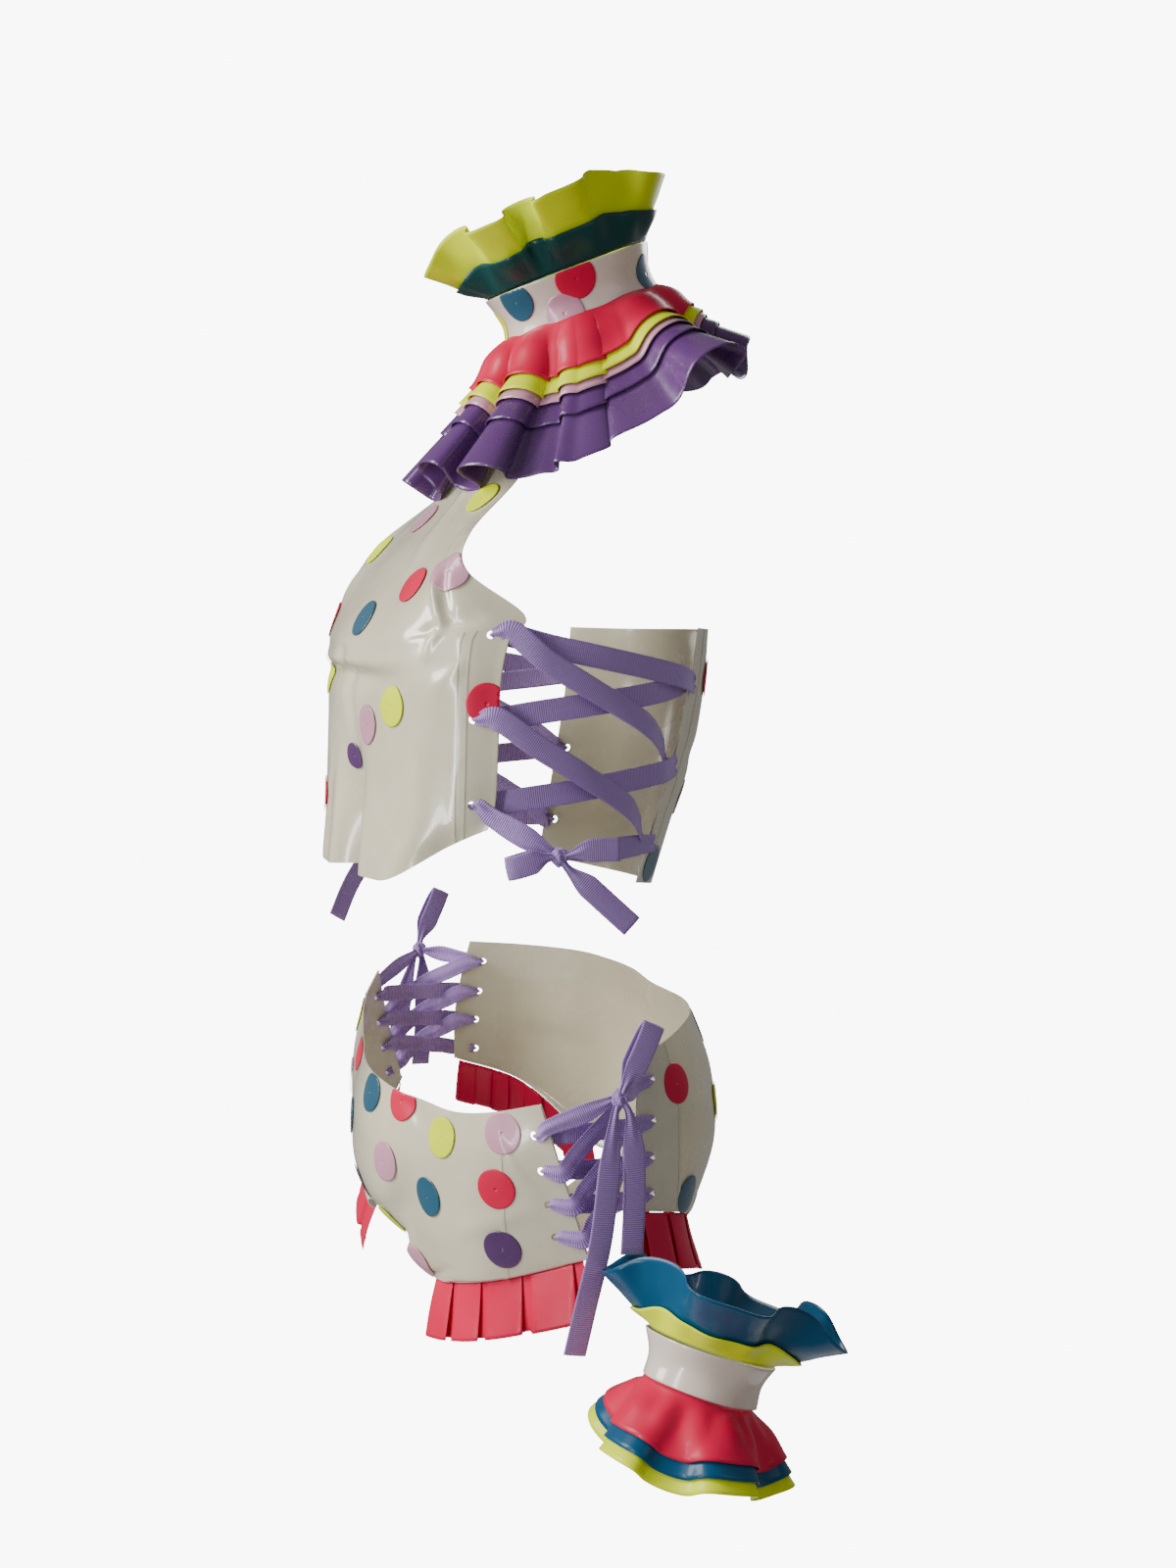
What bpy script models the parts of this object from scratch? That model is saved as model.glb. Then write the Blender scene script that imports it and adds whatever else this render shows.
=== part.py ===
"""Clown costume in sheet latex, worn set: ruffed collar, polka-dot halter top, shorts and a wrist cuff.

Metres, +Z up. The wearer faces -Y and the wearer's left is +X. The origin is the centre of the neck at
the neck band's lower edge, where the neck holds the set. Every cloth piece is a wall on a grid of points, which
are worked out from the tables and sizes below.
"""

from math import cos, pi, radians, sin

import bmesh
import bpy
import numpy as np
from mathutils import Matrix, Vector

# Walls and gaps
WALL = 0.0010
SEAM_GAP = 0.0004
LAYER_STEP = 0.0022
ROW_LENGTH = 0.024
RIBBON_WALL = 0.0008
RIBBON_WIDTH = 0.014
BUNCHED_WIDTH = 0.0075  # the shorts' lace lies bunched between its close eyelets

# Collar: the band leans forward with the neck
NECK_TILT = radians(22)
BAND_HEIGHT = 0.030
BAND_SECTIONS = ((0.0, 0.0535), (0.4, 0.0515), (1.0, 0.0565))  # share of the height, radius
# A frill's lean: degrees from the front, flare, share of the cut length that stands out
COLLAR_TOP = {"full": 0.047, "wave": 0.0045, "lobes": (-18, 38, 66, 142, 175, 210, 250, 296),
              "lean": ((-15, 43, 0.90), (12, 30, 0.96), (66, 23, 1.06), (98, 22, 1.02), (108, 24, 0.90),
                       (142, 27, 0.88), (180, 33, 0.88), (250, 38, 0.90), (300, 42, 0.90))}
COLLAR_TOP_FRILLS = (("yellow", 0.047, 0), ("teal", 0.022, 1))  # colour, length, layer
COLLAR_LOW_FRILLS = (
    ("purple", 0.104, 0),  # colour, length, layer out from the chest
    ("purple_short", 0.068, 1),
    ("pink", 0.053, 2),
    ("yellow", 0.047, 3),
    ("red", 0.036, 4),
)
COLLAR_LOW_FLUTES = (-30, 0, 30, 62, 101, 141, 180, 219, 259, 298)
COLLAR_LOW_WAVE = 0.0105
# degrees from the front, slope below level, share of the full length that stands out
COLLAR_DROP = ((0, 53, 1.0), (35, 53, 1.05), (47, 50, 1.0), (61, 60, 1.06), (72, 52, 1.0), (84, 35, 0.95),
               (101, 24, 0.93), (141, 30, 0.66), (180, 38, 0.66))

# Halter top, front panel: a row for each level, x y z of the middle, apex, side and edge lines
TOP_FRONT = (
    ((0, -0.043, -0.042), (0.017, -0.041, -0.041), (0.029, -0.034, -0.039), (0.037, -0.026, -0.036)),
    ((0, -0.062, -0.078), (0.024, -0.060, -0.077), (0.041, -0.053, -0.075), (0.053, -0.044, -0.073)),
    ((0, -0.091, -0.120), (0.034, -0.089, -0.119), (0.052, -0.081, -0.115), (0.064, -0.072, -0.111)),
    ((0, -0.123, -0.153), (0.050, -0.121, -0.154), (0.072, -0.117, -0.152), (0.085, -0.113, -0.147)),
    ((0, -0.146, -0.183), (0.067, -0.141, -0.183), (0.089, -0.135, -0.177), (0.101, -0.121, -0.170)),
    ((0, -0.160, -0.206), (0.073, -0.151, -0.205), (0.107, -0.130, -0.201), (0.126, -0.095, -0.196)),
    ((0, -0.164, -0.219), (0.073, -0.153, -0.218), (0.109, -0.133, -0.214), (0.128, -0.105, -0.210)),
    ((0, -0.163, -0.243), (0.072, -0.154, -0.243), (0.110, -0.135, -0.238), (0.128, -0.111, -0.236)),
    ((0, -0.160, -0.285), (0.071, -0.156, -0.287), (0.107, -0.135, -0.280), (0.126, -0.112, -0.276)),
    ((0, -0.160, -0.330), (0.069, -0.158, -0.330), (0.104, -0.135, -0.316), (0.121, -0.112, -0.308)),
    ((0, -0.160, -0.355), (0.064, -0.162, -0.356), (0.100, -0.133, -0.333), (0.118, -0.116, -0.322)),
)
CENTRE_FOLD = {"top": -0.262, "bottom": -0.355, "depth": 0.026, "width": 0.013, "swell": 0.006}

# Halter top, back panel: middle, half way and edge lines
TOP_BACK = (
    ((0, 0.074, -0.205), (0.058, 0.064, -0.205), (0.097, 0.036, -0.204)),
    ((0, 0.072, -0.245), (0.056, 0.062, -0.245), (0.094, 0.031, -0.243)),
    ((0, 0.065, -0.290), (0.053, 0.055, -0.289), (0.090, 0.022, -0.287)),
    ((0, 0.053, -0.330), (0.049, 0.042, -0.330), (0.084, 0.012, -0.326)),
    ((0, 0.041, -0.374), (0.045, 0.030, -0.372), (0.078, 0.002, -0.366)),
)

# Shorts, before the hips lean: waist, hip, thigh and lower edge of each line from the middle outwards
HIP_TILT = radians(5)
HIP_PIVOT_Z = -0.53
CROTCH_Y = -0.046
SHORTS_FRONT = (
    ((0, -0.150, -0.490), (0.035, -0.145, -0.491), (0.066, -0.136, -0.489), (0.092, -0.128, -0.487),
     (0.122, -0.117, -0.478), (0.150, -0.098, -0.466)),
    ((0, -0.157, -0.532), (0.033, -0.153, -0.531), (0.062, -0.144, -0.527), (0.092, -0.135, -0.522),
     (0.126, -0.121, -0.510), (0.158, -0.090, -0.496)),
    ((0, -0.150, -0.575), (0.029, -0.150, -0.567), (0.050, -0.142, -0.562), (0.083, -0.135, -0.565),
     (0.124, -0.119, -0.550), (0.164, -0.081, -0.527)),
    ((0, -0.110, -0.611), (0.025, -0.125, -0.597), (0.044, -0.140, -0.585), (0.068, -0.131, -0.598),
     (0.119, -0.116, -0.583), (0.168, -0.073, -0.554)),
    ((0, CROTCH_Y, -0.628), (0.020, CROTCH_Y, -0.624), (0.036, -0.134, -0.593), (0.059, -0.127, -0.608),
     (0.115, -0.113, -0.588), (0.169, -0.071, -0.557)),
)
SHORTS_BACK = (
    ((0, 0.050, -0.447), (0.036, 0.053, -0.447), (0.062, 0.046, -0.446), (0.086, 0.032, -0.445),
     (0.116, 0.003, -0.446), (0.141, -0.030, -0.4475)),
    ((0, 0.060, -0.490), (0.038, 0.066, -0.489), (0.068, 0.060, -0.486), (0.096, 0.043, -0.482),
     (0.128, 0.010, -0.478), (0.147, -0.034, -0.475)),
    ((0, 0.056, -0.540), (0.038, 0.068, -0.536), (0.068, 0.063, -0.531), (0.098, 0.048, -0.527),
     (0.133, 0.012, -0.517), (0.151, -0.037, -0.507)),
    ((0, 0.020, -0.600), (0.026, 0.040, -0.584), (0.048, 0.054, -0.573), (0.080, 0.046, -0.574),
     (0.131, 0.012, -0.549), (0.152, -0.036, -0.532)),
    ((0, CROTCH_Y, -0.628), (0.020, CROTCH_Y, -0.624), (0.040, 0.050, -0.583), (0.068, 0.044, -0.589),
     (0.129, 0.012, -0.557), (0.152, -0.036, -0.540)),
)
LEG_FRILL_LENGTH = 0.034
LEG_FRILL_FLARE = radians(13)
LEG_FRILL_PLEATS = 4
LEG_FRILL_PLEAT = 0.0045

# Wrist cuff on the wearer's left arm, which hangs a little out and forward
CUFF_CENTRE = (0.236, -0.037, -0.6295)
CUFF_AXIS = (-0.10, 0.38, 0.92)
CUFF_HEIGHT = 0.024
CUFF_SECTIONS = ((0.0, 0.0335), (0.5, 0.0335), (1.0, 0.0385))
CUFF_TOP = {"full": 0.040, "wave": 0.0070, "lobes": (-30, 62, 148, 215, 275),
            "lean": ((-30, 51, 0.95), (20, 40, 1.0), (65, 34, 1.0), (105, 38, 1.0), (150, 50, 1.0),
                     (245, 36, 1.0))}
CUFF_TOP_FRILLS = (("teal", 0.040, 0), ("yellow", 0.014, 1))
CUFF_LOW = {"full": 0.046, "wave": 0.0060, "lobes": (15, 95, 160, 225, 285),
            "lean": ((-28, 14, 0.88), (15, 17, 0.98), (65, 26, 1.0), (155, 39, 1.0), (240, 40, 1.0),
                     (288, 48, 1.0), (312, 32, 0.95))}
CUFF_LOW_FRILLS = (("yellow", 0.046, 0), ("teal", 0.039, 1), ("red", 0.031, 2))

# Lacing: eyelets as places on the panels, in shares from the middle to the edge and from top to hem
EYELET_RADIUS = 0.0042
OVER = 0.0015  # a ribbon's middle over a panel's face
UNDER = -0.0034  # and under the panel
TOP_FRONT_EYELETS = ((0.87, 0.575), (0.82, 0.75), (0.83, 0.885))
TOP_BACK_EYELETS = ((0.92, 0.22), (0.92, 0.52), (0.92, 0.84))
SHORTS_FRONT_EYELETS = ((0.95, 0.14), (0.95, 0.305), (0.95, 0.455), (0.95, 0.61))
SHORTS_BACK_EYELETS = ((0.94, 0.14), (0.94, 0.335), (0.94, 0.50), (0.94, 0.70))
# The eyelets that each half of a lace goes through in turn: panel, eyelet from the top
TOP_LACES = {
    "a": (("back", 0), ("front", 0), ("back", 1), ("front", 2)),
    "b": (("back", 0), ("front", 1), ("back", 2)),
}
SHORTS_LACES = {
    "a": (("front", 3), ("back", 2), ("front", 1), ("back", 0)),
    "b": (("back", 3), ("front", 2), ("back", 1), ("front", 0)),
}
TOP_BULGE = 0.021
SHORTS_BULGE = 0.004
# A run from panel to panel: share of the way from front to back, and how far off the body's side it is
RUN_LIFTS = {
    ("front", True): ((0.0, 0.0016), (0.2, 0.0022), (0.4, 0.0028), (0.66, 0.0026), (0.85, -0.0026),
                      (1.0, -0.0048)),
    ("back", True): ((1.0, 0.0016), (0.85, 0.0016), (0.66, -0.0022), (0.4, -0.0022), (0.2, -0.0028),
                     (0.0, -0.0044)),
    ("back", False): ((1.0, -0.0042), (0.85, -0.0030), (0.66, -0.0016), (0.4, -0.0018), (0.2, -0.0028),
                      (0.0, -0.0044)),
}
# Bows: the knot's place on the left, then each ribbon as steps from the knot: back, up, out
TOP_KNOT = (0.1405, -0.080, -0.337)
SHORTS_KNOT = (0.1705, -0.058, -0.4745)
KNOT_RADIUS = 0.0055
TOP_BOW = {
    "loop": ((-0.007, 0.000, 0.0035), (-0.016, -0.002, 0.0065), (-0.027, -0.005, 0.0060),
             (-0.032, -0.006, 0.0030), (-0.027, -0.005, 0.0005), (-0.016, -0.002, 0.0000),
             (-0.007, 0.000, 0.0005)),
    "end_short": ((0.007, 0.002, 0.0040), (0.018, 0.004, 0.0050), (0.036, 0.004, 0.0030)),
    "end_long": ((0.005, -0.007, 0.0040), (0.016, -0.017, 0.0060), (0.030, -0.030, 0.0050),
                 (0.043, -0.042, 0.0030)),
}
TOP_BOW_RIGHT_END = ((-0.004, -0.008, 0.0040), (-0.020, -0.026, 0.0050), (-0.040, -0.050, 0.0030),
                     (-0.054, -0.073, 0.0000))
SHORTS_BOW = {
    "loop": ((0.002, 0.008, 0.0035), (0.008, 0.020, 0.0065), (0.016, 0.036, 0.0060),
             (0.020, 0.043, 0.0030), (0.016, 0.036, 0.0005), (0.008, 0.020, 0.0000),
             (0.002, 0.008, 0.0005)),
    "end_short": ((0.004, -0.008, 0.0050), (0.006, -0.030, 0.0070), (0.006, -0.060, 0.0080),
                  (0.004, -0.090, 0.0090)),
    "end_long": ((-0.004, -0.008, 0.0030), (-0.010, -0.040, 0.0090), (-0.016, -0.080, 0.0110),
                 (-0.025, -0.118, 0.0100), (-0.031, -0.146, 0.0080)),
}

COLOURS = {
    "cream": (0.74, 0.69, 0.57),
    "yellow": (0.58, 0.68, 0.01),
    "teal": (0.0, 0.075, 0.14),
    "red": (0.95, 0.01, 0.07),
    "pink": (0.68, 0.38, 0.49),
    "purple": (0.13, 0.04, 0.19),
    "lilac": (0.30, 0.19, 0.54),
}


def material(colour, roughness=0.25):
    """One shared material for each colour: glossy latex, or dull woven ribbon."""
    name = ("ribbon_" if colour == "lilac" else "latex_") + colour
    made = bpy.data.materials.get(name) or bpy.data.materials.new(name)
    made.use_nodes = True
    shader = made.node_tree.nodes["Principled BSDF"]
    shader.inputs["Base Color"].default_value = (*COLOURS[colour], 1)
    shader.inputs["Roughness"].default_value = roughness
    shader.inputs["Metallic"].default_value = 0
    return made


def spline(knots, at):
    """Points of a smooth curve through the knots; at counts knots, from 0 to the last."""
    knots = np.asarray(knots, float)
    padded = np.concatenate([2 * knots[:1] - knots[1:2], knots, 2 * knots[-1:] - knots[-2:-1]])
    at = np.clip(np.asarray(at, float), 0, len(knots) - 1 - 1e-9)
    first = at.astype(int)
    t = (at - first).reshape((-1,) + (1,) * (knots.ndim - 1))
    a, b, c, d = (padded[first + i] for i in range(4))
    return b + 0.5 * t * (c - a + t * (2 * a - 5 * b + 4 * c - d + t * (3 * (b - c) + d - a)))


def mirrored(rows):
    """The full width of a panel from its left half: the lines right of the middle are mirrored."""
    left = np.asarray(rows, float)
    return np.concatenate([left[:, :0:-1] * (-1, 1, 1), left], axis=1)


def panel_points(rows, across, down):
    """Grid of points on a panel: across runs -1..1 from edge to edge, down 0..1 from top to hem."""
    full = mirrored(rows)
    levels = spline(full, np.asarray(down) * (len(rows) - 1))
    half = (full.shape[1] - 1) / 2
    lines = spline(levels.transpose(1, 0, 2), (np.asarray(across) + 1) * half)
    return lines.transpose(1, 0, 2)


def smoothstep(low, high, value):
    share = np.clip((value - low) / (high - low), 0, 1)
    return share * share * (3 - 2 * share)


def top_front_points(across, down):
    """The front panel hangs straight from the cups, with one deep fold in the middle of its skirt."""
    points = panel_points(TOP_FRONT, across, down)
    fold = CENTRE_FOLD
    grown = smoothstep(-fold["top"], -fold["bottom"], -points[..., 2])
    x = points[..., 0] / fold["width"]
    trough = fold["depth"] * np.exp(-x * x)
    swell = fold["swell"] * np.exp(-((abs(x) - 2.4) ** 2))
    points[..., 1] += grown * (trough - swell)
    return points


def leaned(points):
    """The hips lean a little down on the wearer's left."""
    points = np.array(points, float)
    x, z = points[..., 0].copy(), points[..., 2] - HIP_PIVOT_Z
    points[..., 0] = x * cos(HIP_TILT) + z * sin(HIP_TILT)
    points[..., 2] = HIP_PIVOT_Z + z * cos(HIP_TILT) - x * sin(HIP_TILT)
    return points


def shorts_front_points(across, down):
    points = panel_points(SHORTS_FRONT, across, down)
    points[..., 1] = np.minimum(points[..., 1], CROTCH_Y - SEAM_GAP)
    return leaned(points)


def shorts_back_points(across, down):
    points = panel_points(SHORTS_BACK, across, down)
    points[..., 1] = np.maximum(points[..., 1], CROTCH_Y + SEAM_GAP)
    return leaned(points)


def top_back_points(across, down):
    return panel_points(TOP_BACK, across, down)


def normals_of(points, outward):
    """Unit normals of a grid, turned to the side that the outward directions point to."""
    along = np.gradient(points, axis=1)
    down = np.gradient(points, axis=0)
    normal = np.cross(along, down)
    normal /= np.linalg.norm(normal, axis=-1, keepdims=True) + 1e-12
    sign = np.sign((normal * outward).sum(-1, keepdims=True))
    return normal * np.where(sign == 0, 1, sign)


def moved_out(points, distance):
    """A grid on a body panel moved away from the body's middle line along its own normals."""
    outward = points - (0, -0.045, 0) * np.ones_like(points)
    outward[..., 2] = 0
    return points + distance * normals_of(points, outward)


def place_of(panel, across, down, lift):
    """One point on a panel, moved out from it."""
    near = panel(across + np.array((-0.01, 0, 0.01)), down + np.array((-0.01, 0, 0.01)))
    return moved_out(near, lift)[1, 1]


def wall_object(name, points, colour, wall=WALL, ring=False, side=-1.0):
    """A cloth wall on a grid of points. side -1 puts the wall under the grid, 0 about it, 1 over it."""
    rows, columns = points.shape[:2]
    mesh = bmesh.new()
    bmesh.ops.create_grid(mesh, x_segments=columns - 1, y_segments=rows - 1, size=0.5)
    for vertex in mesh.verts:
        column = round((vertex.co.x + 0.5) * (columns - 1))
        row = round((vertex.co.y + 0.5) * (rows - 1))
        vertex.co = points[row, column]
    if ring:
        bmesh.ops.remove_doubles(mesh, verts=mesh.verts, dist=1e-6)
    data = bpy.data.meshes.new(name)
    mesh.to_mesh(data)
    mesh.free()
    data.materials.append(material(colour, 0.6 if colour == "lilac" else 0.25))
    data.shade_smooth()
    piece = bpy.data.objects.new(name, data)
    bpy.context.scene.collection.objects.link(piece)
    solid = piece.modifiers.new("Wall", "SOLIDIFY")
    solid.thickness = wall
    solid.offset = side
    solid.use_even_offset = True
    solid.thickness_clamp = 0
    return piece


def panel_object(name, panel, colour, columns, rows, share=(-1, 1), levels=(0, 1), lift=0.0):
    across = np.linspace(*share, columns + 1)
    down = np.linspace(*levels, rows + 1)
    points = moved_out(panel(across, down), lift)
    return wall_object(name, points[:, ::-1] if faces_in(points) else points, colour)


def faces_in(points):
    """True when the grid's own face direction, columns by rows, points to the body's middle."""
    middle = points[len(points) // 2, points.shape[1] // 2]
    step = points[len(points) // 2, points.shape[1] // 2 - 1]
    below = points[len(points) // 2 - 1, points.shape[1] // 2]
    facing = np.cross(middle - step, middle - below)
    return facing @ ((middle - (0, -0.045, middle[2])) * (1, 1, 0)) < 0


def round_frame(centre, axis):
    """Centre, sideways, forward and axis directions of a ring round a neck or a wrist."""
    axis = np.asarray(axis, float) / np.linalg.norm(axis)
    forward = np.array((0.0, -1.0, 0.0))
    forward -= (forward @ axis) * axis
    forward /= np.linalg.norm(forward)
    return np.asarray(centre, float), np.cross(forward, axis) * -1, forward, axis


COLLAR_FRAME = round_frame((0, 0, 0), (0, -sin(NECK_TILT), cos(NECK_TILT)))
CUFF_FRAME = round_frame(CUFF_CENTRE, CUFF_AXIS)


def outward_of(frame, turn):
    """Directions out from the ring's axis at angles counted from the front to the wearer's left."""
    _, sideways, forward, _ = frame
    turn = np.asarray(turn)[..., None]
    return np.sin(turn) * sideways + np.cos(turn) * forward


def band_points(frame, sections, height, columns, rows):
    turns = np.linspace(0, 2 * pi, columns + 1)
    turns[-1] = 0
    shares = np.linspace(0, 1, rows + 1)
    radii = np.interp(shares, *np.transpose(sections))
    centre, _, _, axis = frame
    return centre + axis * (shares * height)[:, None, None] + outward_of(frame, turns) * radii[:, None, None]


def phase_of(turns, lobes):
    """Wave phase that reaches a full turn at each lobe, so that uneven lobes share one wave."""
    lobes = np.asarray(lobes, float)
    knots = np.concatenate([lobes, [lobes[0] + 360]])
    degrees = (np.degrees(turns) - lobes[0]) % 360 + lobes[0]
    return 2 * pi * np.interp(degrees, knots, np.arange(len(knots)))


def lobe_turns(lobes, steps):
    """Angles round a frill: each lobe takes the same number of columns, whatever its width."""
    knots = np.asarray((*lobes, lobes[0] + 360), float)
    turns = np.radians(np.interp(np.arange(len(lobes) * steps + 1) / steps, np.arange(len(knots)), knots))
    turns[-1] = turns[0]
    return turns


def collar_low_surface(turns, lengths):
    """The lower frills' shared fluted cone: it falls steeply in front and lies out over the shoulders."""
    degrees = abs((np.degrees(turns) + 180) % 360 - 180)
    knots, slopes, reach = np.transpose(COLLAR_DROP)
    slope = np.radians(np.interp(degrees, knots, slopes))
    reach = np.interp(degrees, knots, reach)
    level = np.stack([np.sin(turns), -np.cos(turns), 0 * turns], -1)
    up = np.array((0.0, 0.0, 1.0))
    run = level * np.cos(slope)[:, None] - up * np.sin(slope)[:, None]
    out = level * np.sin(slope)[:, None] + up * np.cos(slope)[:, None]
    centre, _, _, axis = COLLAR_FRAME
    start = centre - axis * 0.0106 + outward_of(COLLAR_FRAME, turns) * 0.0475
    length = np.asarray(lengths)[:, None, None] * reach[:, None]
    wave = np.cos(phase_of(turns, COLLAR_LOW_FLUTES))[:, None]
    swing = COLLAR_LOW_WAVE * (np.asarray(lengths)[:, None, None] / 0.104)
    return start + run * length + out * wave * swing, out


def frill_surface(frame, height, radius, cut, turns, lengths, way):
    """A frill that flares from a ring; way 1 stands up from a band and -1 hangs down."""
    centre, _, _, axis = frame
    knots, flares, shares = np.transpose(cut["lean"])
    degrees = np.degrees(turns)
    flare = np.radians(np.interp(degrees, knots, flares, period=360))[:, None]
    share = np.interp(degrees, knots, shares, period=360)[:, None]
    radial = outward_of(frame, turns)
    run = way * axis * np.cos(flare) + radial * np.sin(flare)
    out = radial * np.cos(flare) - way * axis * np.sin(flare)
    lengths = np.asarray(lengths)[:, None, None]
    swing = cut["wave"] * (lengths / cut["full"]) * np.cos(phase_of(turns, cut["lobes"]))[:, None]
    return centre + axis * height + radial * radius + run * (lengths * share) + out * swing, out


def layered(surface, turns, lengths, lift):
    """The surface's points moved out to a layer, along true normals, with the ring closed exactly."""
    points, out = surface(turns[:-1], lengths)
    around = np.roll(points, -1, axis=1) - np.roll(points, 1, axis=1)
    down = np.gradient(points, axis=0)
    normal = np.cross(around, down)
    normal /= np.linalg.norm(normal, axis=-1, keepdims=True)
    normal *= np.sign((normal * out).sum(-1, keepdims=True))
    points = points + normal * lift
    return np.concatenate([points, points[:, :1]], axis=1)


def frill_object(name, surface, turns, length, layer, colour, flip):
    rows = max(1, round(length / ROW_LENGTH))
    lengths = np.linspace(0, length, rows + 1)
    points = layered(surface, turns, lengths, layer * LAYER_STEP)
    return wall_object(name, points[::-1] if flip else points, colour, ring=True, side=0)


def collar():
    points = band_points(COLLAR_FRAME, BAND_SECTIONS, BAND_HEIGHT, 26, 2)
    wall_object("collar_band", points, "cream", ring=True)
    turns = lobe_turns(COLLAR_TOP["lobes"], 4)

    def top(turns, lengths):
        return frill_surface(COLLAR_FRAME, BAND_HEIGHT + 0.0024, BAND_SECTIONS[-1][1] - 0.0018, COLLAR_TOP,
                             turns, lengths, 1)

    for colour, length, layer in COLLAR_TOP_FRILLS:
        frill_object("collar_top_frill_" + colour, top, turns, length, layer, colour, False)
    turns = lobe_turns(COLLAR_LOW_FLUTES, 4)
    for colour, length, layer in COLLAR_LOW_FRILLS:
        frill_object("collar_low_frill_" + colour, collar_low_surface, turns, length, layer,
                     colour.split("_")[0], True)


def cuff():
    points = band_points(CUFF_FRAME, CUFF_SECTIONS, CUFF_HEIGHT, 20, 2)
    wall_object("cuff_band", points, "cream", ring=True)

    def top(turns, lengths):
        return frill_surface(CUFF_FRAME, CUFF_HEIGHT + 0.0033, CUFF_SECTIONS[-1][1] - 0.0018, CUFF_TOP, turns,
                             lengths, 1)

    def low(turns, lengths):
        return frill_surface(CUFF_FRAME, -0.0050, CUFF_SECTIONS[0][1] - 0.0028, CUFF_LOW, turns, lengths, -1)

    for colour, length, layer in CUFF_TOP_FRILLS:
        turns = lobe_turns(CUFF_TOP["lobes"], 5)
        frill_object("cuff_top_frill_" + colour, top, turns, length, layer, colour, False)
    for colour, length, layer in CUFF_LOW_FRILLS:
        turns = lobe_turns(CUFF_LOW["lobes"], 5)
        frill_object("cuff_low_frill_" + colour, low, turns, length, layer, colour, True)


def edge_place(panel, side, height, last):
    """The place on a panel's laced edge at a height."""
    down = np.linspace(0, last, 25)
    edge = panel(np.array((0.98, 0.99, 1.0)) * side, down)[:, 2]
    return np.array([np.interp(-height, -edge[:, 2], edge[:, axis]) for axis in range(3)])


def eyelet_places(panel, eyelet, side):
    """Under the panel beside the eyelet, in it, and over the panel beside it."""
    across, down = eyelet
    apart = np.linalg.norm(place_of(panel, (across + 0.01) * side, down, 0)
                           - place_of(panel, across * side, down, 0))
    beside = (across + 0.01 * 0.003 / apart) * side
    return (place_of(panel, beside, down, UNDER), place_of(panel, across * side, down, -WALL / 2),
            place_of(panel, beside, down, OVER))


def body_outward(point):
    level = (np.asarray(point) - (0, -0.045, 0)) * (1, 1, 0)
    return level / np.linalg.norm(level)


def gap_place(laced, side, share, height, lift):
    """A place on the open side of the body, share 0 at the front panel's edge and 1 at the back's."""
    front = edge_place(laced["front"], side, height, laced["last"])
    back = edge_place(laced["back"], side, height, laced["last"])
    point = front + (back - front) * share
    point += body_outward(point) * (laced["bulge"] * 4 * share * (1 - share) + lift)
    return np.array((point[0], point[1], height))


def lace_path(stops, laced, side, knot, begin):
    """Knots of one half of a lace, each with its width: through the eyelets in turn, and to the bow."""
    path = []
    previous = None
    for number, (name, index) in enumerate(stops):
        under, inside, over = eyelet_places(laced[name], laced[name + "_eyelets"][index], side)
        if previous is not None:
            start_name, start, leaves_over = previous
            for share, lift in RUN_LIFTS[(start_name, leaves_over)]:
                height = start[2] + (under[2] - start[2]) * (share if start_name == "front" else 1 - share)
                path.append((*gap_place(laced, side, share, height, lift), laced["width"]))
        if number or begin == "through":
            path += [(*under, 0.005), (*inside, 0.0026), (*over, 0.005)]
        else:
            path.append((*(over if begin == "over" else under), 0.005))
        previous = (name, over if number or begin != "under" else under, bool(number) or begin != "under")
    name, start, _ = previous
    share = 0.0 if name == "front" else 1.0
    edge = gap_place(laced, side, share, start[2] + 0.25 * (knot[2] - start[2]), OVER + 0.0009)
    middle = (edge + knot) / 2
    way = (edge - knot) / np.linalg.norm(edge - knot)
    path.append((*edge, laced["width"] * 0.6))
    path.append((*(middle + body_outward(middle) * 0.002), laced["width"] * 0.9))
    path.append((*(knot + way * (KNOT_RADIUS + 0.0015)), 0.005))
    return np.array(path)


def ribbon_object(name, path, width_way, steps=2):
    """A flat ribbon along knots of x, y, z and width; its width lies as near to width_way as it can."""
    path = spline(path, np.linspace(0, len(path) - 1, (len(path) - 1) * steps + 1))
    points, widths = path[:, :3], np.clip(path[:, 3:], 0.0026, RIBBON_WIDTH)
    along = np.gradient(points, axis=0)
    along /= np.linalg.norm(along, axis=1, keepdims=True)
    across = width_way - along * (along @ width_way)[:, None]
    across /= np.linalg.norm(across, axis=1, keepdims=True)
    return wall_object(name, np.stack([points - across * widths / 2, points + across * widths / 2]),
                       "lilac", wall=RIBBON_WALL, side=0)


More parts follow.
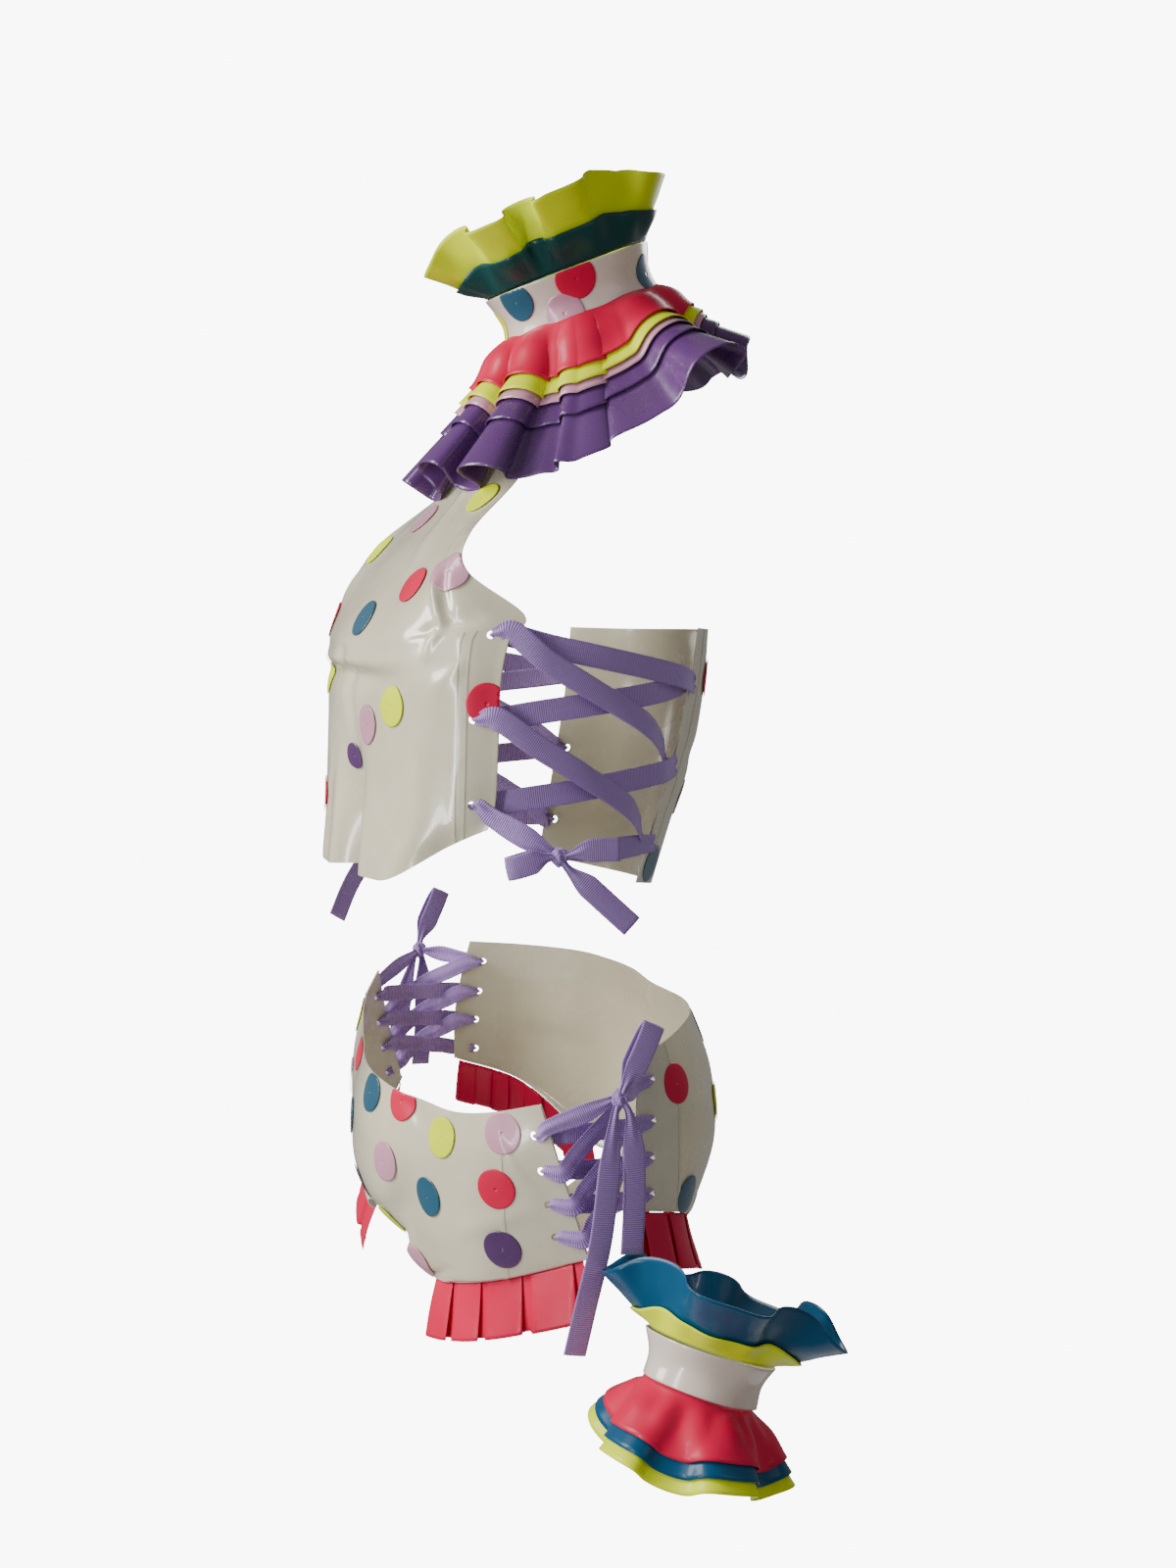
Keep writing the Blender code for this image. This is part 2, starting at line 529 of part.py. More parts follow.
def bow_objects(name, knot, ribbons, side):
    """A knot with its loop and its two free ends, each a step table from the knot."""
    out = body_outward(knot)
    back = np.cross((0, 0, side), out)
    up = np.array((0.0, 0.0, 1.0))
    mesh = bmesh.new()
    bmesh.ops.create_icosphere(mesh, subdivisions=1, radius=KNOT_RADIUS)
    bmesh.ops.scale(mesh, vec=(0.8, 0.9, 1.0), verts=mesh.verts)
    bmesh.ops.translate(mesh, vec=knot + out * 0.002, verts=mesh.verts)
    data = bpy.data.meshes.new(name + "_knot")
    mesh.to_mesh(data)
    mesh.free()
    data.materials.append(material("lilac", 0.6))
    piece = bpy.data.objects.new(name + "_knot", data)
    bpy.context.scene.collection.objects.link(piece)
    for part, steps in ribbons.items():
        path = [(*(knot + back * b + up * u + out * (o + 0.002)), 0.004 if i == 0 else RIBBON_WIDTH)
                for i, (b, u, o) in enumerate(steps)]
        if part == "loop":
            path[-1] = (*path[-1][:3], 0.004)
        flat_way = np.cross(out, np.array(path[-1][:3]) - np.array(path[0][:3]))
        if part == "loop":
            flat_way = np.cross(out, np.array(path[3][:3]) - np.array(path[0][:3]))
        ribbon_object(name + "_" + part, path, flat_way / np.linalg.norm(flat_way))


def lacing():
    laced_top = {"front": top_front_points, "back": top_back_points, "front_eyelets": TOP_FRONT_EYELETS,
                 "back_eyelets": TOP_BACK_EYELETS, "bulge": TOP_BULGE, "last": 1.0, "width": RIBBON_WIDTH}
    laced_shorts = {"front": shorts_front_points, "back": shorts_back_points,
                    "front_eyelets": SHORTS_FRONT_EYELETS, "back_eyelets": SHORTS_BACK_EYELETS,
                    "bulge": SHORTS_BULGE, "last": 0.75, "width": BUNCHED_WIDTH}
    up = np.array((0.0, 0.0, 1.0))
    for side, word in ((1, "left"), (-1, "right")):
        knot = np.array(TOP_KNOT) * (side, 1, 1)
        for half, begin in (("a", "over"), ("b", "under")):
            path = lace_path(TOP_LACES[half], laced_top, side, knot, begin)
            ribbon_object("lace_top_%s_%s" % (word, half), path, up, steps=1)
        ribbons = dict(TOP_BOW)
        if side < 0:
            ribbons["end_long"] = TOP_BOW_RIGHT_END
        bow_objects("bow_top_" + word, knot, ribbons, side)
        knot = leaned(np.array(SHORTS_KNOT) * (side, 1, 1) + (0, 0, 0.0148))
        for half in ("a", "b"):
            path = lace_path(SHORTS_LACES[half], laced_shorts, side, knot, "through")
            ribbon_object("lace_shorts_%s_%s" % (word, half), path, up, steps=1)
        bow_objects("bow_shorts_" + word, knot, SHORTS_BOW, side)


def punch_eyelets(piece, panel, eyelets, side_signs=(1, -1)):
    """Round holes through a panel or its facing, square to the cloth."""
    mesh = bmesh.new()
    for side in side_signs:
        for across, down in eyelets:
            low, high = (Vector(place_of(panel, across * side, down, lift)) for lift in (-0.006, 0.004))
            turn = (high - low).to_track_quat("Z", "Y").to_matrix().to_4x4()
            bmesh.ops.create_cone(mesh, cap_ends=True, segments=6, radius1=EYELET_RADIUS,
                                  radius2=EYELET_RADIUS, depth=(high - low).length,
                                  matrix=Matrix.Translation((low + high) / 2) @ turn)
    data = bpy.data.meshes.new(piece.name + "_punch")
    mesh.to_mesh(data)
    mesh.free()
    punch = bpy.data.objects.new(data.name, data)
    punch.hide_render = True
    punch.display_type = "WIRE"
    bpy.context.scene.collection.objects.link(punch)
    holes = piece.modifiers.new("Eyelets", "BOOLEAN")
    holes.operation = "DIFFERENCE"
    holes.object = punch


def leg_frill(name, panel, side, span):
    """Box pleats under a leg hem: flat pleats stand out, and narrow returns lie behind them."""
    columns = LEG_FRILL_PLEATS * 4
    across = np.linspace(*span, columns + 1) * side
    hem = panel(across, np.array((0.98, 1.0)))[1]
    outward = (hem - (0, -0.045, 0)) * (1, 1, 0)
    outward /= np.linalg.norm(outward, axis=1, keepdims=True)
    pleats = np.where(np.arange(columns + 1) % 4 < 2, 1.0, 0.0)[:, None]
    top = hem - (0, 0, 0.0006) - outward * 0.0006
    fall = outward * sin(LEG_FRILL_FLARE) - np.array((0, 0, cos(LEG_FRILL_FLARE)))
    bottom = top + fall * LEG_FRILL_LENGTH + outward * pleats * LEG_FRILL_PLEAT
    points = np.stack([top, bottom])
    wall_object(name, points, "red", side=0)


def trims():
    """Frills under the leg hems."""
    for side, word in ((1, "left"), (-1, "right")):
        leg_frill("leg_frill_front_" + word, shorts_front_points, side, (0.61, 0.985))
        leg_frill("leg_frill_back_" + word, shorts_back_points, side, (0.61, 0.985))


def main():
    for old in list(bpy.data.objects):
        bpy.data.objects.remove(old)
    collar()
    cuff()
    panels = (
        ("top_front", top_front_points, TOP_FRONT_EYELETS, 20, 11),
        ("top_back", top_back_points, TOP_BACK_EYELETS, 8, 5),
        ("shorts_front", shorts_front_points, SHORTS_FRONT_EYELETS, 18, 6),
        ("shorts_back", shorts_back_points, SHORTS_BACK_EYELETS, 16, 6),
    )
    for name, panel, eyelets, columns, rows in panels:
        punch_eyelets(panel_object(name, panel, "cream", columns, rows), panel, eyelets)
    trims()
    lacing()


main()
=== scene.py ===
"""Clown costume in sheet latex: ruff collar, halter top, laced shorts and a wrist cuff.

Every cloth piece is a thin shell on a grid that a shape function fills from the garment's own sizes.
"""

from math import cos, pi, radians, sin

import bmesh
import bpy
import numpy as np
from mathutils import Matrix, Vector


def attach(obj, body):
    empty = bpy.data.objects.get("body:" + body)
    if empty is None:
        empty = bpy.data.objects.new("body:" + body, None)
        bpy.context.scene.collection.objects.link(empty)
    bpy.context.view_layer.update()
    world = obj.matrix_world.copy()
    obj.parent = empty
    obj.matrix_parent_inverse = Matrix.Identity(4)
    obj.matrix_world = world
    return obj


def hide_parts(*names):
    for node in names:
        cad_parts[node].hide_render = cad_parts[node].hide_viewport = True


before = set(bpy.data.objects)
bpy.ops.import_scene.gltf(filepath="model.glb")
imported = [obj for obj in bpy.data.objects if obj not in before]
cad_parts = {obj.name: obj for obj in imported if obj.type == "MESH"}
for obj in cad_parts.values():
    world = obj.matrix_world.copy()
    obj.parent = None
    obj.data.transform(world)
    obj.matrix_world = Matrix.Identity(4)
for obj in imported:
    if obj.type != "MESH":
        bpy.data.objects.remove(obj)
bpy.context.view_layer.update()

BODY = "root"

# Sheets and ribbon
LATEX = 0.0006
CAD_WALL = 0.001
DOT_SHEET = 0.0003
FACING_SHEET = 0.0004
LAYER_STEP = 0.0022
FRILL_ROW = 0.0026  # cloth between two rows of a frill's points
RIBBON = 0.0004
RIBBON_WIDTH = 0.014
SHORTS_RIBBON_WIDTH = 0.0115
GATHER_WIDTH = 0.0048  # a ribbon pulled together in an eyelet or a knot
RIBBON_STEPS = 7
BODY_MIDDLE = (0.0, -0.045, 0.0)

# Collar: the band leans forward with the neck
NECK_TILT = radians(22)
BAND_HEIGHT = 0.03
BAND_SECTIONS = ((0.0, 0.0535), (0.4, 0.0515), (1.0, 0.0565))  # share of the height, radius
# Frills of one seam. Its seam: past the band's edge, inside the band's radius.
# Its lean: degrees from the front, flare, share of the cut length that stands out.
COLLAR_TOP = {"full": 0.047, "wave": 0.0066, "roll": 0.0052, "seam": (0.0019, 0.0018),
              "lobes": (-18, 38, 66, 142, 175, 210, 250, 296),
              "lean": ((-15, 43, 0.9), (12, 30, 0.96), (66, 23, 1.06), (98, 22, 1.02), (108, 24, 0.9),
                       (142, 27, 0.88), (180, 33, 0.88), (250, 38, 0.9), (300, 42, 0.9))}
# Each frill from the longest, one layer further out for each: node, finish, length
COLLAR_TOP_FRILLS = (("yellow", "yellow", 0.047), ("teal", "green", 0.022))
COLLAR_TOP_COLUMNS = 400
COLLAR_LOW_FULL = 0.104
COLLAR_LOW_WAVE = 0.0118
COLLAR_LOW_ROLL = 0.0066
COLLAR_LOW_FLUTES = (-30, 0, 30, 62, 101, 141, 180, 219, 259, 298)
COLLAR_LOW_FRILLS = (
    ("purple", "purple", 0.104), ("purple_short", "purple", 0.068), ("pink", "pink", 0.053),
    ("yellow", "yellow", 0.047), ("red", "red", 0.036),
)
COLLAR_LOW_COLUMNS = 440
COLLAR_LOW_SEAM = (0.05, 0.0012)  # radius and height where the frills are glued
COLLAR_LOW_HUNG = (0.0475, -0.0106)  # and where they would start, seen from further out
COLLAR_LOW_TURN = 0.034  # length of cloth over which the one becomes the other
# degrees from the front, slope below level, share of the full length that stands out
COLLAR_DROP = ((0, 53, 1.0), (35, 53, 1.05), (47, 50, 1.0), (61, 60, 1.06), (72, 52, 1.0), (84, 35, 0.95),
               (101, 24, 0.93), (141, 30, 0.66), (180, 38, 0.66))

# Wrist cuff
CUFF_CENTRE = (0.236, -0.037, -0.6295)
CUFF_AXIS = (-0.1, 0.38, 0.92)
CUFF_HEIGHT = 0.024
CUFF_SECTIONS = ((0.0, 0.0335), (0.5, 0.0335), (1.0, 0.0385))
CUFF_COLUMNS = 280
CUFF_TOP = {"full": 0.04, "wave": 0.008, "roll": 0.004, "seam": (0.0023, 0.0018),
            "lobes": (-30, 62, 148, 215, 275),
            "lean": ((-30, 51, 0.95), (20, 40, 1.0), (65, 34, 1.0), (105, 38, 1.0), (150, 50, 1.0),
                     (245, 36, 1.0))}
CUFF_LOW = {"full": 0.046, "wave": 0.007, "roll": 0.0036, "seam": (0.0028, 0.0028),
            "lobes": (15, 95, 160, 225, 285),
            "lean": ((-28, 14, 0.88), (15, 17, 0.98), (65, 26, 1.0), (155, 39, 1.0), (240, 40, 1.0),
                     (288, 48, 1.0), (312, 32, 0.95))}
CUFF_TOP_FRILLS = (("teal", "teal", 0.04), ("yellow", "yellow", 0.014))
CUFF_LOW_FRILLS = (("yellow", "yellow", 0.046), ("teal", "teal", 0.039), ("red", "red", 0.031))

# Panels, in millimetres: a row for each level, x y z of the lines from the middle to the edge
TOP_FRONT = (
    ((0, -43, -42), (17, -41, -41), (29, -34, -39), (37, -26, -36)),
    ((0, -62, -78), (24, -60, -77), (41, -53, -75), (53, -44, -73)),
    ((0, -91, -120), (34, -89, -119), (52, -81, -115), (64, -72, -111)),
    ((0, -123, -153), (50, -121, -154), (72, -117, -152), (85, -113, -147)),
    ((0, -146, -183), (67, -141, -183), (89, -135, -177), (101, -121, -170)),
    ((0, -160, -206), (73, -151, -205), (107, -130, -201), (126, -95, -196)),
    ((0, -164, -219), (73, -153, -218), (109, -133, -214), (128, -105, -210)),
    ((0, -163, -243), (72, -154, -243), (110, -135, -238), (128, -111, -236)),
    ((0, -160, -285), (71, -156, -287), (107, -135, -280), (126, -112, -276)),
    ((0, -160, -330), (69, -158, -330), (104, -135, -316), (121, -112, -308)),
    ((0, -160, -355), (64, -162, -356), (100, -133, -333), (118, -116, -322)),
)
CENTRE_FOLD = {"top": -0.262, "bottom": -0.355, "depth": 0.026, "width": 0.013, "swell": 0.006}
TOP_BACK = (
    ((0, 74, -205), (58, 64, -205), (97, 36, -204)),
    ((0, 72, -245), (56, 62, -245), (94, 31, -243)),
    ((0, 65, -290), (53, 55, -289), (90, 22, -287)),
    ((0, 53, -330), (49, 42, -330), (84, 12, -326)),
    ((0, 41, -374), (45, 30, -372), (78, 2, -366)),
)

# Shorts, before the hips lean
HIP_TILT = radians(5)
HIP_PIVOT_Z = -0.53
CROTCH_Y = -46  # in millimetres
SEAM_GAP = 0.0004
SHORTS_FRONT = (
    ((0, -150, -490), (35, -145, -491), (66, -136, -489),
     (92, -128, -487), (122, -117, -478), (150, -98, -466)),
    ((0, -157, -532), (33, -153, -531), (62, -144, -527),
     (92, -135, -522), (126, -121, -510), (158, -90, -496)),
    ((0, -150, -575), (29, -150, -567), (50, -142, -562),
     (83, -135, -565), (124, -119, -550), (164, -81, -527)),
    ((0, -110, -611), (25, -125, -597), (44, -140, -585),
     (68, -131, -598), (119, -116, -583), (168, -73, -554)),
    ((0, CROTCH_Y, -628), (20, CROTCH_Y, -624), (36, -134, -593),
     (59, -127, -608), (115, -113, -588), (169, -71, -557)),
)
SHORTS_BACK = (
    ((0, 50, -447), (36, 53, -447), (62, 46, -446), (86, 32, -445), (116, 3, -446), (141, -30, -447.5)),
    ((0, 60, -490), (38, 66, -489), (68, 60, -486), (96, 43, -482), (128, 10, -478), (147, -34, -475)),
    ((0, 56, -540), (38, 68, -536), (68, 63, -531), (98, 48, -527), (133, 12, -517), (151, -37, -507)),
    ((0, 20, -600), (26, 40, -584), (48, 54, -573), (80, 46, -574), (131, 12, -549), (152, -36, -532)),
    ((0, CROTCH_Y, -628), (20, CROTCH_Y, -624), (40, 50, -583),
     (68, 44, -589), (129, 12, -557), (152, -36, -540)),
)
LEG_FRILL = {"length": 0.034, "flare": radians(13), "pleats": 4, "stand": 0.0052, "span": (0.61, 0.985)}
# One pleat: share of its width along the hem, and of its full stand off the hem
PLEAT = ((0.0, 1.0), (0.36, 1.05), (0.76, 1.0), (0.8, 0.86), (0.62, 0.42), (0.5, 0.26), (0.56, 0.16),
         (0.96, 0.1))

# Creases: across and down where each starts and ends, width and height in millimetres, out positive
TOP_CREASES = (
    ((-0.42, 0.655), (0.3, 0.675), 8.5, -5), ((-0.4, 0.62), (0.28, 0.635), 9, 2.2),
    ((0.38, 0.52), (0.78, 0.49), 8, -2.6), ((0.66, 0.3), (0.5, 0.62), 6, 2.2),
    ((0.8, 0.36), (0.62, 0.47), 6, -2.8), ((-0.8, 0.36), (-0.6, 0.49), 6.5, -2.4),
    ((-0.42, 0.53), (-0.76, 0.5), 8, -2.2), ((-0.22, 0.8), (-0.3, 0.99), 7, 2),
    ((-0.4, 0.74), (-0.46, 0.96), 9, -1.8), ((0.18, 0.78), (0.22, 0.98), 9, 2.2),
    ((0.34, 0.72), (0.4, 0.9), 11, -1.6), ((-0.05, 0.58), (0.02, 0.8), 6, -2.6),
    ((0.55, 0.7), (0.74, 0.66), 7, 1.2), ((0.1, 0.12), (0.2, 0.36), 7, 1.2),
)
TOP_BACK_CREASES = (
    ((-0.9, 0.25), (-0.3, 0.32), 8, -1.4), ((0.9, 0.52), (0.25, 0.47), 8, -1.4),
    ((-0.85, 0.8), (-0.2, 0.72), 9, 1.2), ((0.05, 0.1), (0.0, 0.9), 12, -1.2),
)
SHORTS_CREASES = (
    ((0.26, 0.00), (0.4, 0.1), 6, -1.8), ((0.4, 0.02), (0.6, 0.05), 6, 1),
    ((0.8, 0.02), (0.93, 0.4), 2.2, 0.8), ((0.56, 0.94), (0.66, 0.7), 4.5, -1.4),
    ((0.62, 0.99), (0.68, 0.84), 3, 1.2), ((0.1, 0.55), (0.36, 0.86), 7, -1.8),
    ((-0.12, 0.58), (-0.38, 0.84), 7, -1.8), ((-0.55, 0.92), (-0.66, 0.68), 4.5, -1.4),
    ((-0.3, 0.03), (-0.45, 0.12), 6, -1.4), ((-0.9, 0.3), (-0.68, 0.36), 7, 1),
    ((0.92, 0.46), (0.7, 0.5), 7, 1),
)
SHORTS_BACK_CREASES = (
    ((0.1, 0.7), (0.34, 0.93), 7, -1.8), ((-0.1, 0.72), (-0.36, 0.92), 7, -1.6),
    ((0.0, 0.05), (0.0, 0.55), 8, -1.6), ((0.88, 0.3), (0.55, 0.38), 8, 1),
    ((-0.86, 0.52), (-0.58, 0.46), 8, 1),
)

# Dots: finish, across and down on the panel, and the radius of one drawn small by a fold
DOT_RADIUS = 0.0125
DOT_LIFT = 0.00078  # above the panel's face, and above the facings glued on it
BAND_DOT_LIFT = 0.0004
DOT_RINGS = 7
DOT_SPOKES = 32
TOP_DOTS = (
    ("yellow", 0.55, 0.22), ("pink", -0.16, 0.24), ("yellow", -0.65, 0.3), ("red", 0.28, 0.38),
    ("pink", 0.82, 0.385), ("blue", 0.05, 0.46), ("yellow", -0.31, 0.675), ("yellow", 0.29, 0.72),
    ("pink", 0.14, 0.75), ("plum", -0.025, 0.8, 0.0085), ("red", 0.915, 0.73),
    ("blue", -0.035, 0.945, 0.0085),
    ("red", -0.42, 0.47), ("pink", -0.7, 0.6), ("blue", -0.62, 0.78), ("red", -0.3, 0.86),
    ("pink", -0.86, 0.9), ("blue", 0.12, 0.09), ("red", -0.4, 0.12),
)
TOP_BACK_DOTS = (
    ("red", 0.55, 0.2), ("blue", 0.05, 0.4), ("yellow", -0.5, 0.28), ("pink", 0.42, 0.66),
    ("plum", -0.22, 0.74), ("red", -0.72, 0.62), ("yellow", 0.02, 0.95), ("blue", 0.8, 0.92),
)
SHORTS_DOTS = (
    ("red", 0.24, 0.03), ("blue", 0.02, 0.07), ("pink", -0.62, 0.27), ("blue", -0.26, 0.27),
    ("yellow", 0.55, 0.12), ("pink", 0.85, 0.105), ("pink", 0.21, 0.29), ("blue", 0.53, 0.38),
    ("red", 0.83, 0.345), ("plum", 0.84, 0.605), ("yellow", 0.08, 0.6), ("pink", 0.53, 0.9),
    ("red", -0.4, 0.06), ("yellow", -0.8, 0.1), ("yellow", -0.5, 0.58), ("red", -0.82, 0.55),
    ("blue", -0.66, 0.74), ("plum", -0.12, 0.5),
)
SHORTS_BACK_DOTS = (
    ("red", 0.84, 0.2), ("blue", 0.8, 0.7), ("yellow", 0.52, 0.36), ("pink", 0.3, 0.1),
    ("plum", 0.28, 0.62), ("red", 0.0, 0.32), ("blue", -0.28, 0.14), ("yellow", -0.26, 0.66),
    ("pink", -0.54, 0.38), ("red", -0.8, 0.22), ("plum", -0.78, 0.72), ("pink", 0.58, 0.8),
    ("red", -0.56, 0.8),
)
# Dots on the band: finish, degrees from the front, share of the height
BAND_DOTS = (("yellow", -19, 0.3), ("blue", 21, 0.74), ("red", 68, 0.76), ("pink", 53, 0.18),
             ("blue", 131, 0.36), ("yellow", 170, 0.8), ("pink", 200, 0.2), ("red", 226, 0.4),
             ("plum", 262, 0.8), ("blue", 300, 0.22))

# Lacing: eyelets as places on the panels
EYELET_RADIUS = 0.0027
BESIDE = 0.0035  # past the eyelet's middle, where a ribbon comes out of it
UNDER_WIDTH = 0.0065  # of a ribbon there, under the panel and over it
OVER_WIDTH = 0.0075
OVER = 0.0015  # a ribbon's middle over a panel's face
UNDER = -0.0034  # and under the panel
TOP_FRONT_EYELETS = ((0.87, 0.575), (0.82, 0.75), (0.83, 0.885))
TOP_BACK_EYELETS = ((0.92, 0.22), (0.92, 0.52), (0.92, 0.84))
SHORTS_FRONT_EYELETS = ((0.95, 0.14), (0.95, 0.305), (0.95, 0.455), (0.95, 0.61))
SHORTS_BACK_EYELETS = ((0.94, 0.14), (0.94, 0.335), (0.94, 0.5), (0.94, 0.7))
TOP_LACES = {
    "a": (("back", 0), ("front", 0), ("back", 1), ("front", 2)),
    "b": (("back", 0), ("front", 1), ("back", 2)),
}
SHORTS_LACES = {
    "a": (("front", 3), ("back", 2), ("front", 1), ("back", 0)),
    "b": (("back", 3), ("front", 2), ("back", 1), ("front", 0)),
}
TOP_BULGE = 0.021
SHORTS_BULGE = 0.004
# A run from panel to panel: share of the way from front to back, and how far off the body's side it is
RUN_LIFTS = {
    ("front", True): ((0.0, 0.0016), (0.2, 0.0022), (0.4, 0.0028), (0.66, 0.0026), (0.85, -0.0026),
                      (1.0, -0.0048)),
    ("back", True): ((1.0, 0.0016), (0.85, 0.0016), (0.66, -0.0022), (0.4, -0.0022), (0.2, -0.0028),
                     (0.0, -0.0044)),
    ("back", False): ((1.0, -0.0042), (0.85, -0.003), (0.66, -0.0016), (0.4, -0.0018), (0.2, -0.0028),
                      (0.0, -0.0044)),
}
# Bows: the knot's place on the left, then each ribbon as steps from the knot in millimetres: back, up, out
TOP_KNOT = (0.1405, -0.08, -0.337)
SHORTS_KNOT = (0.1705, -0.058, -0.4597)
KNOT_RADIUS = 0.0055
KNOT_LIFT = 0.002
TOP_BOW = {
    "loop": ((-7, 0, 3.5), (-16, -2, 6.5), (-27, -5, 6),
             (-32, -6, 3), (-27, -5, 0.5), (-16, -2, 0),
             (-7, 0, 0.5)),
    "end_short": ((7, 2, 4), (18, 4, 5), (36, 4, 3)),
    "end_long": ((5, -7, 4), (16, -17, 6), (30, -30, 5),
                 (43, -42, 3)),
}
TOP_BOW_RIGHT_END = ((-4, -8, 4), (-20, -26, 5), (-40, -50, 3),
                     (-54, -73, 0))
SHORTS_BOW = {
    "loop": ((2, 8, 3.5), (8, 20, 6.5), (16, 36, 6),
             (20, 43, 3), (16, 36, 0.5), (8, 20, 0),
             (2, 8, 0.5)),
    "end_short": ((4, -8, 5), (6, -30, 7), (6, -60, 8),
                  (4, -90, 9)),
    "end_long": ((-4, -8, 3), (-10, -40, 9), (-16, -80, 11),
                 (-25, -118, 10), (-31, -146, 8)),
}

# Finishes: record slot, colour, roughness low and high, coat, alpha, glow below the surface
FINISHES = {
    "cream": ("cream_latex", (0.66, 0.61, 0.45), 0.16, 0.32, 0.7, 1.0, 0.12),
    "band": ("cream_latex", (0.735, 0.64, 0.56), 0.16, 0.3, 0.6, 1.0, 0.12),
    "hem": ("cream_latex", (0.64, 0.54, 0.46), 0.26, 0.42, 0.4, 1.0, 0.1),
    "yellow": ("yellow_latex", (0.74, 0.86, 0.000), 0.34, 0.48, 0.06, 1.0, 0.0),
    "red": ("red_latex", (0.64, 0.0, 0.05), 0.34, 0.48, 0.06, 1.0, 0.0),
    "pink": ("pink_latex", (0.6, 0.29, 0.39), 0.24, 0.4, 0.35, 1.0, 0.12),
    "teal": ("teal_latex", (0.0, 0.07, 0.16), 0.3, 0.44, 0.12, 1.0, 0.0),
    "blue": ("teal_latex", (0.012, 0.085, 0.15), 0.24, 0.4, 0.4, 1.0, 0.0),
    "green": ("green_latex", (0.0, 0.052, 0.05), 0.3, 0.46, 0.1, 1.0, 0.0),
    "plum": ("purple_latex", (0.085, 0.03, 0.125), 0.24, 0.4, 0.4, 1.0, 0.0),
    "purple": ("purple_latex", (0.115, 0.036, 0.18), 0.22, 0.36, 0.35, 0.82, 0.0),
}
RIBBON_SLOT = "lilac_ribbon"
RIBBON_COLOUR = (0.45, 0.27, 0.69)


# ---------------------------------------------------------------- materials

def socket_link(tree, source, output, target, name):
    tree.links.new(source.outputs[output], target.inputs[name])


def set_inputs(node, values):
    for name, value in values.items():
        node.inputs[name].default_value = value


def new_material(name, values):
    """A material, its node tree and its shader with these values."""
    made = bpy.data.materials.new(name)
    made.use_nodes = True
    shader = made.node_tree.nodes["Principled BSDF"]
    set_inputs(shader, {"Metallic": 0, **values})
    return made, made.node_tree, shader


def tint(tree, source, shader, low, high):
    """The shader's colour, between two places on a ramp, each with its colour."""
    ramp = tree.nodes.new("ShaderNodeValToRGB")
    for element, (position, colour) in zip(ramp.color_ramp.elements, (low, high)):
        element.position = position
        element.color = (*colour, 1)
    socket_link(tree, source, "Fac", ramp, "Fac")
    socket_link(tree, ramp, "Color", shader, "Base Color")


def noise(tree, place, scale, detail):
    made = tree.nodes.new("ShaderNodeTexNoise")
    set_inputs(made, {"Scale": scale, "Detail": detail})
    socket_link(tree, place, "Object", made, "Vector")
    return made


def bump(tree, source, strength, distance):
    made = tree.nodes.new("ShaderNodeBump")
    set_inputs(made, {"Strength": strength, "Distance": distance})
    socket_link(tree, source, "Fac", made, "Height")
    return made


def latex(finish):
    """Glossy sheet latex and its slot: faint clouds in the colour, a patchy polish and soft ripples."""
    slot, colour, smooth, dull, coat, alpha, glow = FINISHES[finish]
    made = bpy.data.materials.get("latex_" + finish)
    if made:
        return made, slot
    made, tree, shader = new_material("latex_" + finish, {
        "IOR": 1.50 if coat > 0.3 else 1.33, "Coat Weight": coat, "Coat Roughness": 0.09, "Alpha": alpha,
        "Subsurface Weight": glow, "Subsurface Scale": 0.002, "Subsurface Radius": (1.0, 0.8, 0.5)})
    place = tree.nodes.new("ShaderNodeTexCoord")
    tint(tree, noise(tree, place, 14, 4), shader, (0.30, [c * 0.86 for c in colour]),
         (0.72, [min(1.0, c * 1.07 + 0.004) for c in colour]))
    polish = noise(tree, place, 42, 5)
    set_inputs(polish, {"Roughness": 0.62})
    spread = tree.nodes.new("ShaderNodeMapRange")
    set_inputs(spread, {"From Min": 0.3, "From Max": 0.7, "To Min": smooth, "To Max": dull})
    socket_link(tree, polish, "Fac", spread, "Value")
    socket_link(tree, spread, "Result", shader, "Roughness")
    waves = bump(tree, noise(tree, place, 30, 2), 0.30, 0.0022)
    grain = bump(tree, noise(tree, place, 900, 2), 0.08, 0.0002)
    socket_link(tree, waves, "Normal", grain, "Normal")
    socket_link(tree, grain, "Normal", shader, "Normal")
    return made, slot


def grosgrain():
    """Ribbed woven ribbon and its slot: a rib each millimetre along its length, with painted shade in the
    grooves between the ribs and painted light on their crests.
    """
    made = bpy.data.materials.get("grosgrain")
    if made:
        return made, RIBBON_SLOT
    made, tree, shader = new_material("grosgrain", {"Roughness": 0.62, "Sheen Weight": 0.35,
                                                    "Sheen Roughness": 0.4})
    weave = tree.nodes.new("ShaderNodeUVMap")
    weave.uv_map = "Cloth"
    rib_bumps_and_groove_shade = tree.nodes.new("ShaderNodeTexWave")
    rib_bumps_and_groove_shade.wave_type = "BANDS"
    rib_bumps_and_groove_shade.bands_direction = "X"
    set_inputs(rib_bumps_and_groove_shade, {"Scale": 250, "Distortion": 0.4, "Detail": 1})
    socket_link(tree, weave, "UV", rib_bumps_and_groove_shade, "Vector")
    # painted shade and light: the ribbon's colour darkens to 0.55 of itself in each groove between the ribs
    # and lightens on their crests
    tint(tree, rib_bumps_and_groove_shade, shader, (0.05, [c * 0.55 for c in RIBBON_COLOUR]),
         (1.0, [min(1, c * 1.12) for c in RIBBON_COLOUR]))
    socket_link(tree, bump(tree, rib_bumps_and_groove_shade, 0.9, 0.0003), "Normal", shader, "Normal")
    return made, RIBBON_SLOT


# ---------------------------------------------------------------- shapes

